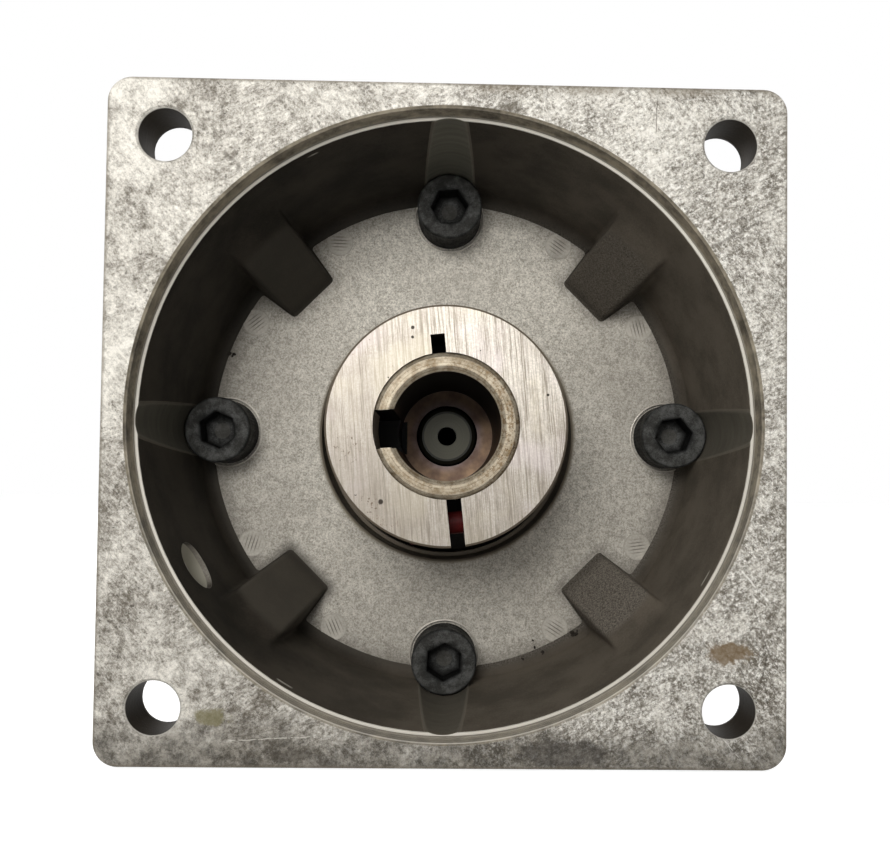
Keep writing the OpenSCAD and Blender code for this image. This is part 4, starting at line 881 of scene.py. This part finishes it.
@dataclass
class Bell:
    """The cast inside of the motor adapter: drafted wall, four ramp bosses and the screw pockets' arches."""

    mouth_r: float = 64
    floor_r: float = 62.15
    depth: float = 43.5
    ledge_depth: float = 4
    fillet_r: float = 3
    foot_r: float = 49.4
    foot_w: float = 13
    top_w: float = 14.2
    top_depth: float = 15.7
    screw_ring_r: float = 56
    pocket_r: float = 8.5
    access_r: float = 5.5
    access_depth: float = 16.3
    access_angle: float = 209.4
    access_aim: tuple[float, float] = (-3.23, -21.79)
    skin: float = 0.12
    edge_margin: float = 0.38
    edge_blend: float = 1.3
    wall_blend: float = 1.2
    floor_blend: float = 0.7
    side_draft: float = 0.05
    waves: tuple[tuple[float, float, float], ...] = ((3, 0.31, 0), (17, -0.9, 1), (41, 1.7, 0))
    wave_h: float = 0.007
    sink: float = 0.05
    floor_sink: float = 0.7
    columns: int = 860
    rows: int = 84
    fine_columns: int = 7200
    halvings: int = 26
    ramp_peak: tuple[float, float, float] = (7, 7.9, 1.3)
    screw_peak: tuple[float, float] = (2.5, 9.5)
    access_peak: tuple[float, float] = (4, 7.5)

    @property
    def floor(self) -> float:
        """Station of the bell floor."""
        return station("motor_adapter")[1] - self.depth

    def wall_radius(self, height: np.ndarray) -> np.ndarray:
        """Radius of the bare wall: a quarter circle above the floor, then a straight draft to the mouth."""
        low = np.clip(self.fillet_r - height, 0, self.fillet_r)
        rise = np.clip(height - self.fillet_r, 0, None) / (self.depth - self.ledge_depth - self.fillet_r)
        quarter = np.sqrt(self.fillet_r ** 2 - low ** 2) - self.fillet_r
        return self.floor_r + quarter + rise * (self.mouth_r - self.floor_r)

    def free_room(self, radius: np.ndarray, angle: np.ndarray, height: np.ndarray) -> np.ndarray:
        """Distance field of the bell: above 0 in the open, below 0 in the metal.

        A ramp is the smooth larger of its slope plane and its two side planes, the metal is the smooth
        smaller of wall, ramps and floor, and the four pockets are cut out of it as round holes.
        """
        climb = (self.depth - self.top_depth) / (self.mouth_r - self.foot_r)
        widen = (self.top_w - self.foot_w) / 2 / (self.mouth_r - self.foot_r)
        to_ramp = np.mod(angle, np.pi / 2) - np.pi / 4
        out, across = radius * np.cos(to_ramp), np.abs(radius * np.sin(to_ramp))
        under = climb * (out - self.foot_r) - height
        half_w = self.foot_w / 2 + widen * (out - self.foot_r) + self.side_draft * np.clip(under, 0, None)
        slope = -under / math.hypot(1, climb) - self.edge_margin
        ramp = smooth_max(across - half_w - self.edge_margin, slope, self.edge_blend)
        metal = smooth_min(self.wall_radius(height) - self.skin - radius, ramp, self.wall_blend)
        metal = smooth_min(metal, height + 0.02, self.floor_blend)
        to_screw = np.mod(angle + np.pi / 4, np.pi / 2) - np.pi / 4
        from_screw = np.hypot(radius * np.cos(to_screw) - self.screw_ring_r, radius * np.sin(to_screw))
        return smooth_max(metal, self.pocket_r - self.skin - from_screw, 0.25)

    def skin_radius(self, angle: np.ndarray, height: np.ndarray) -> np.ndarray:
        """Radius at which a level ray from the shaft line meets the metal, found by halving."""
        near, far = np.full(angle.shape, self.foot_r - 6.0), np.full(angle.shape, self.mouth_r + 2.0)
        for _ in range(self.halvings):
            middle = (near + far) / 2
            inside = self.free_room(middle, angle, height) > 0
            near, far = np.where(inside, middle, near), np.where(inside, far, middle)
        return (near + far) / 2

    def column_angles(self) -> np.ndarray:
        """Angles of the columns, spaced inversely to a density that peaks at ramp sides and arches."""
        angle = np.linspace(0, 2 * np.pi, self.fine_columns + 1)
        to_ramp = np.degrees(np.abs(np.mod(angle, np.pi / 2) - np.pi / 4))
        to_screw = 45 - to_ramp
        ramp, at, wide = self.ramp_peak
        (screw, screw_half), (access, access_half) = self.screw_peak, self.access_peak
        density = 1 + ramp * np.exp(-((to_ramp - at) / wide) ** 2) + screw * (to_screw < screw_half)
        density += access * (np.abs(np.degrees(angle) - self.access_angle) < access_half)
        share = np.concatenate([[0], np.cumsum((density[1:] + density[:-1]) / 2)])
        return np.interp(np.linspace(0, share[-1], self.columns, endpoint=False), share, angle)

    def access_line(self) -> tuple[np.ndarray, np.ndarray]:
        """A point on the wrench hole's axis and the axis' direction, above the floor."""
        turn = math.radians(self.access_angle)
        mouth = np.array([self.mouth_r * math.cos(turn), self.mouth_r * math.sin(turn),
                          self.depth - self.access_depth])
        aim = np.array([self.access_aim[0] - mouth[0], self.access_aim[1] - mouth[1], 0])
        return mouth, aim / np.linalg.norm(aim)

    def open_access(self, points: np.ndarray) -> tuple[np.ndarray, np.ndarray]:
        """Moves the points just inside the wrench hole onto its rim and marks the faces to leave out.

        Args:
            points: Rows, columns and 3, measured above the floor.

        Returns:
            The moved points and, per face, whether it stays.
        """
        mouth, aim = self.access_line()
        offset = points - mouth
        radial = offset - (offset @ aim)[..., None] * aim
        away = np.linalg.norm(radial, axis=-1)
        outward = np.sum(points[..., :2] * mouth[:2], axis=-1) > 0
        inside = (away < self.access_r) & outward
        joined = np.hstack([inside, inside[:, :1]])
        keep = ~(joined[:-1, :-1] & joined[:-1, 1:] & joined[1:, 1:] & joined[1:, :-1])
        rim = points + radial * (self.access_r / np.maximum(away, 1e-6) - 1)[..., None]
        reach = np.hypot(rim[..., 0], rim[..., 1])
        wall = self.wall_radius(rim[..., 2]) - self.skin
        rim[..., :2] *= (wall / reach)[..., None]
        return np.where(inside[..., None], rim, points), keep

    def build(self) -> None:
        """Builds the skin from the mouth down to the floor, its two rims sunk into the casting."""
        top = self.depth - self.ledge_depth
        height = np.concatenate([[top - 0.02], np.linspace(top - 0.3, 4, self.rows - 18),
                                 np.linspace(3.8, 0.05, 16)])
        angle = self.column_angles()
        turn, level = np.meshgrid(angle, height)
        radius = self.skin_radius(turn, level)
        wave = sum(np.sin(count * turn + climb * level + phase) for count, climb, phase in self.waves)
        radius = radius + self.wave_h * wave
        radius[0] += self.skin + self.sink
        points = round_line(radius, level, angle)
        points, keep = self.open_access(points)
        sunk = points[-1:].copy()
        sunk[..., 2] = -self.floor_sink
        points = np.concatenate([points, sunk])
        keep = np.vstack([keep, np.ones((1, keep.shape[1]), bool)])
        points[..., 2] += self.floor
        shell = Shell()
        shell.grid(points, keep=keep)
        shell.piece("bell_skin", "housing", CAST_WALL, 50)


@dataclass
class EjectorMarks:
    """Eight shallow round marks of the casting die's pins beside the ramps, with scribed hatching."""

    ring_r: float = 56.6
    beside: float = 15.2
    mark_r: float = 3.3
    rim_h: float = 0.06
    hatch_pitch: float = 0.85

    def build(self, floor: float) -> None:
        """Builds each mark as a disc whose height is a rim bump plus ridges, sunk at its edge."""
        shell = Shell()
        rho = np.concatenate([np.linspace(0.05, 2.7, 26), np.linspace(2.75, 3.5, 12)])
        phi = np.linspace(0, 2 * np.pi, 96, endpoint=False)
        for corner in range(4):
            for side in (-1, 1):
                turn = math.radians(45 + 90 * corner + side * self.beside)
                lean = 0.6 + 1.3 * corner + 0.35 * side
                across = rho[:, None] * np.cos(phi - lean)
                rim = self.rim_h * np.exp(-((rho[:, None] - self.mark_r) / 0.14) ** 2)
                ridges = np.clip(np.sin(across * 2 * np.pi / self.hatch_pitch) - 0.3, 0, None)
                window = np.exp(-(rho[:, None] / 2.1) ** 4)
                height = 0.012 + rim + 0.07 * ridges * window
                height = np.where(rho[:, None] > self.mark_r + 0.12, height - 0.06, height)
                points = round_line(rho[:, None], height + floor, phi)[::-1]
                points[..., 0] += self.ring_r * math.cos(turn)
                points[..., 1] += self.ring_r * math.sin(turn)
                grooves = np.clip(-np.sin(across * 2 * np.pi / self.hatch_pitch) - 0.35, 0, None) * window
                rim_tint = -0.2 * np.exp(-((rho[:, None] - self.mark_r - 0.05) / 0.16) ** 2)
                index = shell.grid(points, tint=(rim_tint - 1.3 * grooves)[::-1])
                shell.cap(index[-1], points[-1].mean(0), False)
        shell.piece("ejector_marks", "housing", CAST_MARK, 60)


@dataclass
class SocketScrew:
    """A socket head screw with knurled head, chamfered hex socket, drill point and threaded shank."""

    diameter: float = 10
    length: float = 50
    knurls: int = 56
    knurl_h: float = 0.11
    per_knurl: int = 6
    # Tint of rows counted from the end (first row, end row, tint): a painted reflection on the drill point,
    # a faint painted sheen on the head's top face, and painted shade on the knurled side, the lower part of
    # the rounded top edge and the socket's walls.
    wear_and_shading_rows: tuple[tuple[int, int | None, float], ...] = (
        (-2, None, 0.3), (-13, -11, 0.08), (-22, -17, -0.6), (-17, -14, -0.35), (-9, -5, -0.9))

    def profile(self) -> tuple[np.ndarray, np.ndarray]:
        """Gives the radius and height of each row and column and the tint of each row, which paints light
        and shade.

        Rows run from the thread's tip to the drill point. The socket's rows follow a hexagon, whose radius
        is the half width over the cosine of the angle to the nearest flat's middle, and the head's side
        rows carry a triangle wave for the knurl.
        """
        d = self.diameter
        head_r, head_h, bevel, flat = 0.8 * d, d, 0.07 * d, 0.4 * d
        columns = self.knurls * self.per_knurl
        angle = np.linspace(0, 2 * np.pi, columns, endpoint=False)
        hexagon = flat / np.cos(np.mod(angle, np.pi / 3) - np.pi / 6)
        wave = np.abs(np.mod(angle * self.knurls / (2 * np.pi), 1) * 2 - 1)
        level = head_h - 0.5 * d
        pitch = 0.15 * d
        turns = int((self.length - 2 * bevel) / pitch * 2)
        thread_z = np.linspace(-self.length + bevel, -bevel - pitch, turns)
        rows: list[tuple[np.ndarray | float, float]] = [(0.3 * d, -self.length)]
        rows += [(0.44 * d, -self.length + 0.4 * bevel)]
        rows += [(d / 2 - (0.06 * d if i % 2 else 0.004 * d), z) for i, z in enumerate(thread_z)]
        rows += [(d / 2 - 0.01, -bevel), (d / 2, 0.02), (head_r - 0.5 * bevel, 0.02), (head_r - 0.2, 0.25)]
        rows += [(head_r - self.knurl_h * share * wave, z) for share, z in
                 ((0, 0.5), (1, 0.9), (1, head_h * 0.5), (1, head_h - bevel - 0.9),
                  (0, head_h - bevel - 0.3))]
        rows += [(head_r - bevel * (1 - math.cos(a)), head_h - bevel + bevel * math.sin(a))
                 for a in np.radians([10, 30, 50, 70, 88])]
        mouth = flat / math.cos(math.pi / 6) + 0.25
        rows += [(mouth + 0.9, head_h), (mouth + 0.12, head_h), (mouth, head_h - 0.06)]
        rows += [(np.minimum(hexagon, mouth), head_h - 0.34), (hexagon, head_h - 0.55)]
        rows += [(hexagon * 0.995, level + 0.3), (hexagon * 0.97, level), (0.24 * d, level - 0.02)]
        rows += [(0.215 * d, level - 0.12), (0.205 * d, level - 0.14), (0.185 * d, level - 0.16)]
        rows += [(0.02 * d, level - 0.3)]
        radius = np.stack([np.broadcast_to(r, (columns,)) for r, _ in rows])
        height = np.stack([np.full(columns, z) for _, z in rows])
        tint = np.zeros((len(rows), 1))
        for first, last, wear_and_shading in self.wear_and_shading_rows:
            tint[first:last] = wear_and_shading
        return np.stack([radius, height], axis=-1), tint


@dataclass
class AdapterScrews:
    """The four black screws in the bell floor."""

    ring_r: float = 56
    head_h: float = 10
    pocket_r: float = 8.5
    socket_turns: tuple[float, ...] = (10, 4, -22, 28)

    def build(self) -> None:
        """Builds the screws on their circle, each with its socket turned its own way."""
        top = station("adapter_screws")[1]
        profile, tint = SocketScrew().profile()
        columns = profile.shape[1]
        shell = Shell()
        for i, turn in enumerate(self.socket_turns):
            rows = np.roll(profile, round(turn / 360 * columns), axis=1) + np.array([0, top - self.head_h])
            shell.turned(rows, columns, self.place(math.radians(90 * i)), tint=tint)
        made = shell.piece("socket_screws", "housing", BLACK_OXIDE, 30)
        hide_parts("adapter_screws")

    def place(self, angle: float) -> tuple[float, float]:
        """Gives the middle of the screw at an angle."""
        return self.ring_r * math.cos(angle), self.ring_r * math.sin(angle)

    def build_rims(self, floor: float) -> None:
        """Builds the bare raised burr that the counterbore left round each head: a low rounded ring."""
        r = self.pocket_r
        section = np.array([(r, -0.3), (r + 0.5, -0.3), (r + 0.46, 0.0), (r + 0.33, 0.1), (r + 0.14, 0.12),
                            (r + 0.03, 0.05)])
        section[:, 1] += floor
        shell = Shell()
        for i in range(4):
            shell.turned(section, 120, self.place(math.radians(90 * i)), capped=False)
        shell.piece("pocket_rims", "housing", BARE_RIM, 60)


@dataclass
class Crumbs:
    """Dark crumbs of old thread lock and casting sand that lie where the bell floor meets the wall."""

    nests: tuple[tuple[float, float, float, int], ...] = (
        (33.5, -50.6, 1.3, 12), (36.3, 47.6, 0.9, 5), (24.5, -54.4, 4.5, 4), (-55.5, 20.0, 1.2, 3))
    size: float = 0.5
    within_r: float = 60.8

    def build(self, floor: float) -> None:
        """Builds each crumb as a ball whose radius waves with its two angles, half sunk in the floor."""
        rng = np.random.default_rng(7)
        lat = np.linspace(-1.45, 1.45, 7)[:, None]
        lon = np.linspace(0, 2 * np.pi, 10, endpoint=False)
        shell = Shell()
        for right, up, spread, count in self.nests:
            for _ in range(count):
                phase, size = rng.uniform(0, 6.3, 3), self.size * rng.uniform(0.35, 1.3)
                radius = size * (1 + 0.25 * np.sin(2 * lon + phase[0])
                                 + 0.2 * np.sin(3 * lat + lon + phase[1]))
                points = round_line(radius * np.cos(lat), radius * np.sin(lat), lon + phase[2])
                place = np.array([right, up]) + rng.normal(0, 0.5, 2) * spread
                place *= min(1.0, self.within_r / np.hypot(*place))
                points = points + np.array([*place, floor + 0.3 * size])
                index = shell.grid(points)
                shell.cap(index[0], points[0].mean(0), True)
                shell.cap(index[-1], points[-1].mean(0), False)
        shell.piece("floor_crumbs", "housing", CRUMB, 60)


@dataclass
class LipSeal:
    """A shaft seal: ribbed rubber body, two lips and a garter spring."""

    name: str
    node: str
    journal_r: float
    seat_r: float
    towards_motor: int
    coils: int = 130
    spring_r: float = 0.75
    wire_r: float = 0.26
    seat_gap: float = 0.05
    lip_gap: float = 0.1
    groove: float = 3.35

    def build(self) -> None:
        """Builds the body as a closed profile carried round, and the spring as a wire on a helix.

        The wire's middle runs round the shaft at a radius and height that circle the spring's own
        middle once per coil, and a small circle is carried along it.
        """
        low, high = station(self.node)
        wide, middle = high - low, (low + high) / 2
        outer, inner = self.seat_r - self.seat_gap, self.journal_r + self.lip_gap
        shape = [(inner + 1.2, -0.46), (outer - 2.4, -0.46), (outer - 0.6, -0.46), (outer, -0.38)]
        shape += [(outer - 0.14 * (i % 2), -0.3 + 0.07 * i) for i in range(9)]
        shape += [(outer - in_by, level) for in_by, level in
                  ((0, 0.36), (0.5, 0.44), (1.6, 0.44), (1.9, 0.38), (1.9, -0.3))]
        shape += [(inner + out_by, level) for out_by, level in
                  ((4.2, -0.3), (3.1, -0.22), (2.6, 0.02), (2.9, 0.16), (2.2, 0.28), (1.2, 0.26),
                   (0.5, 0.14), (0, 0.02), (0.9, -0.16), (1.0, -0.28), (0.3, -0.36), (0.25, -0.42))]
        rows = np.array(shape)
        rows[:, 1] = middle + rows[:, 1] * wide * self.towards_motor
        if self.towards_motor < 0:
            rows = rows[::-1]
        body = Shell()
        body.turned(rows, 180, capped=False)
        made = body.piece(self.name, "housing", RUBBER, 40)
        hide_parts(self.node)
        around = np.linspace(0, 2 * np.pi, self.coils * 8, endpoint=False)
        ring = np.linspace(0, 2 * np.pi, 6, endpoint=False)[:, None]
        coil = around * self.coils
        ring_r = inner + self.groove + self.spring_r
        out = np.cos(coil) * self.spring_r + np.cos(ring) * np.cos(coil) * self.wire_r
        rise = np.sin(coil) * self.spring_r + np.cos(ring) * np.sin(coil) * self.wire_r
        along = np.sin(ring) * self.wire_r
        radius, turn = ring_r + out, around + along / ring_r
        level = middle + 0.1 * wide * self.towards_motor + rise
        wire = np.stack([radius * np.cos(turn), radius * np.sin(turn), level + 0 * turn], axis=-1)
        spring = Shell()
        spring.grid(wire[::-1], looped=True)
        spring.piece(self.name + "_spring", "housing", SPRING, 60)


@dataclass
class Studio:
    """Floor, lamps, world and the camera at the photograph's place."""

    camera_mm: tuple[float, float, float] = (0.78, -356.97, -12.55)
    yaw: float = 1.074
    pitch: float = 1.553
    roll: float = -0.692
    lens: float = 33.545
    shift: tuple[float, float] = (-0.0226, 0.0343)
    ambient: float = 0.2
    floor_glow: float = 0.8
    floor_half: float = 3.0
    floor_gap: float = 0.0003
    floor_tone: Colour = (0.45, 0.45, 0.45, 1)
    lamps: tuple[tuple[str, float, float, float, float, float], ...] = (
        ("key", -14, 23, 0.42, 0.2, 0.8), ("top", 180, 75, 1.2, 0.7, 0.38),
        ("rear_left", -120, 30, 1.2, 0.7, 0.42), ("rear_right", 120, 30, 1.2, 0.7, 0.36))

    def camera(self) -> None:
        """Places the camera by its yaw to the right, pitch upwards and roll."""
        yaw, pitch, roll = (math.radians(a) for a in (self.yaw, self.pitch, self.roll))
        ahead = Vector((math.cos(pitch) * math.sin(yaw), math.cos(pitch) * math.cos(yaw), math.sin(pitch)))
        level = Vector((math.cos(yaw), -math.sin(yaw), 0))
        above = level.cross(ahead)
        right = level * math.cos(roll) - above * math.sin(roll)
        up = level * math.sin(roll) + above * math.cos(roll)
        data = bpy.data.cameras.new("camera")
        data.lens, data.sensor_width = self.lens, 36
        data.shift_x, data.shift_y = self.shift
        data.clip_start, data.clip_end = 0.005, 50
        camera = bpy.data.objects.new("camera", data)
        axes = Matrix((right, up, -ahead)).transposed()
        camera.matrix_world = Matrix.Translation(Vector(self.camera_mm) * MM) @ axes.to_4x4()
        bpy.context.scene.collection.objects.link(camera)
        bpy.context.scene.camera = camera

    def lamp(self, name: str, azimuth: float, elevation: float, away: float, size: float,
             share: float) -> None:
        """Places a square soft lamp that looks at the middle of the part.

        Args:
            name: Name of the lamp.
            azimuth: Degrees from the camera's side towards +X.
            elevation: Degrees above the horizon.
            away: Distance in metres.
            size: Side of the square in metres.
            share: Light on a facing surface, where 1 renders a colour as it is written.
        """
        a, e = math.radians(azimuth), math.radians(elevation)
        low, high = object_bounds()
        middle = (low + high) / 2 if abs(azimuth) > 60 or elevation > 60 else Vector((0, low.y, 0))
        back = Vector((math.sin(a) * math.cos(e), -math.cos(a) * math.cos(e), math.sin(e)))
        data = bpy.data.lights.new(name, "AREA")
        data.size = size
        data.energy = share * (math.pi * away) ** 2
        lamp = bpy.data.objects.new(name, data)
        lamp.location = middle + back * away
        lamp.rotation_euler = back.to_track_quat("Z", "Y").to_euler()
        lamp.visible_camera = False
        bpy.context.scene.collection.objects.link(lamp)

    def seen_flag(self, tree: bpy.types.NodeTree) -> bpy.types.NodeSocket:
        """Gives 1 for rays of the camera, of gloss and of glass."""
        path = tree.nodes.new("ShaderNodeLightPath")
        flag = path.outputs["Is Camera Ray"]
        for other in ("Is Glossy Ray", "Is Transmission Ray"):
            node = tree.nodes.new("ShaderNodeMath")
            node.operation = "MAXIMUM"
            tree.links.new(flag, node.inputs[0])
            tree.links.new(path.outputs[other], node.inputs[1])
            flag = node.outputs[0]
        return flag

    def world(self) -> None:
        """Makes a world that looks white and lights softly."""
        world = bpy.data.worlds.new("world")
        world.use_nodes = True
        tree = world.node_tree
        back = tree.nodes["Background"]
        back.inputs["Color"].default_value = (1, 1, 1, 1)
        share = tree.nodes.new("ShaderNodeMapRange")
        share.inputs["To Min"].default_value = self.ambient
        share.inputs["To Max"].default_value = 1.0
        tree.links.new(self.seen_flag(tree), share.inputs["Value"])
        tree.links.new(share.outputs[0], back.inputs["Strength"])
        bpy.context.scene.world = world

    def floor(self) -> None:
        """Lays a plain pale floor just under the part."""
        low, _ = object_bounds()
        half, level = self.floor_half, low.z - self.floor_gap
        mesh = bpy.data.meshes.new("floor")
        corners = [(-half, -half, level), (half, -half, level), (half, half, level), (-half, half, level)]
        mesh.from_pydata(corners, [], [(0, 1, 2, 3)])
        plane = bpy.data.objects.new("floor", mesh)
        bpy.context.scene.collection.objects.link(plane)
        material = bpy.data.materials.new("pale_floor")
        material.use_nodes = True
        tree = material.node_tree
        shader = tree.nodes["Principled BSDF"]
        shader.inputs["Base Color"].default_value = self.floor_tone
        shader.inputs["Roughness"].default_value = 0.8
        glow = tree.nodes.new("ShaderNodeMath")
        glow.operation = "MULTIPLY"
        glow.inputs[1].default_value = self.floor_glow
        tree.links.new(self.seen_flag(tree), glow.inputs[0])
        shader.inputs["Emission Color"].default_value = (1, 1, 1, 1)
        tree.links.new(glow.outputs[0], shader.inputs["Emission Strength"])
        mesh.materials.append(material)
        plane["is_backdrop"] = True

    def build(self) -> None:
        """Sets the studio up."""
        self.camera()
        self.world()
        self.floor()
        for lamp in self.lamps:
            self.lamp(*lamp)
        bpy.context.scene.view_settings.view_transform = "Standard"


@dataclass
class Gearbox:
    """The whole part: dressed CAD nodes and the pieces built over or for them."""

    def dress_nodes(self) -> None:
        """Puts each node's finish into all of its material slots."""
        for name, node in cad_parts.items():
            finish = NODE_FINISHES[name]
            material = finish.material()
            for slot in node.material_slots:
                slot.link = "OBJECT"
                slot.material = material
            log.info("%s: dressed as %s", name, finish.label)

    def build(self) -> None:
        """Builds the sub-assemblies in order."""
        self.dress_nodes()
        bell = Bell()
        bell.build()
        EjectorMarks().build(bell.floor)
        screws = AdapterScrews()
        screws.build()
        screws.build_rims(bell.floor)
        Crumbs().build(bell.floor)
        LipSeal("input_lip_seal", "input_seal", 21, 31, -1).build()
        LipSeal("output_lip_seal", "output_seal", 27.5, 40, 1).build()


def main() -> None:
    """Builds the studio and the gearbox."""
    logging.basicConfig(level=logging.INFO, format="%(message)s")
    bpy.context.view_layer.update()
    Studio().build()
    Gearbox().build()


if __name__ == "__main__":
    main()
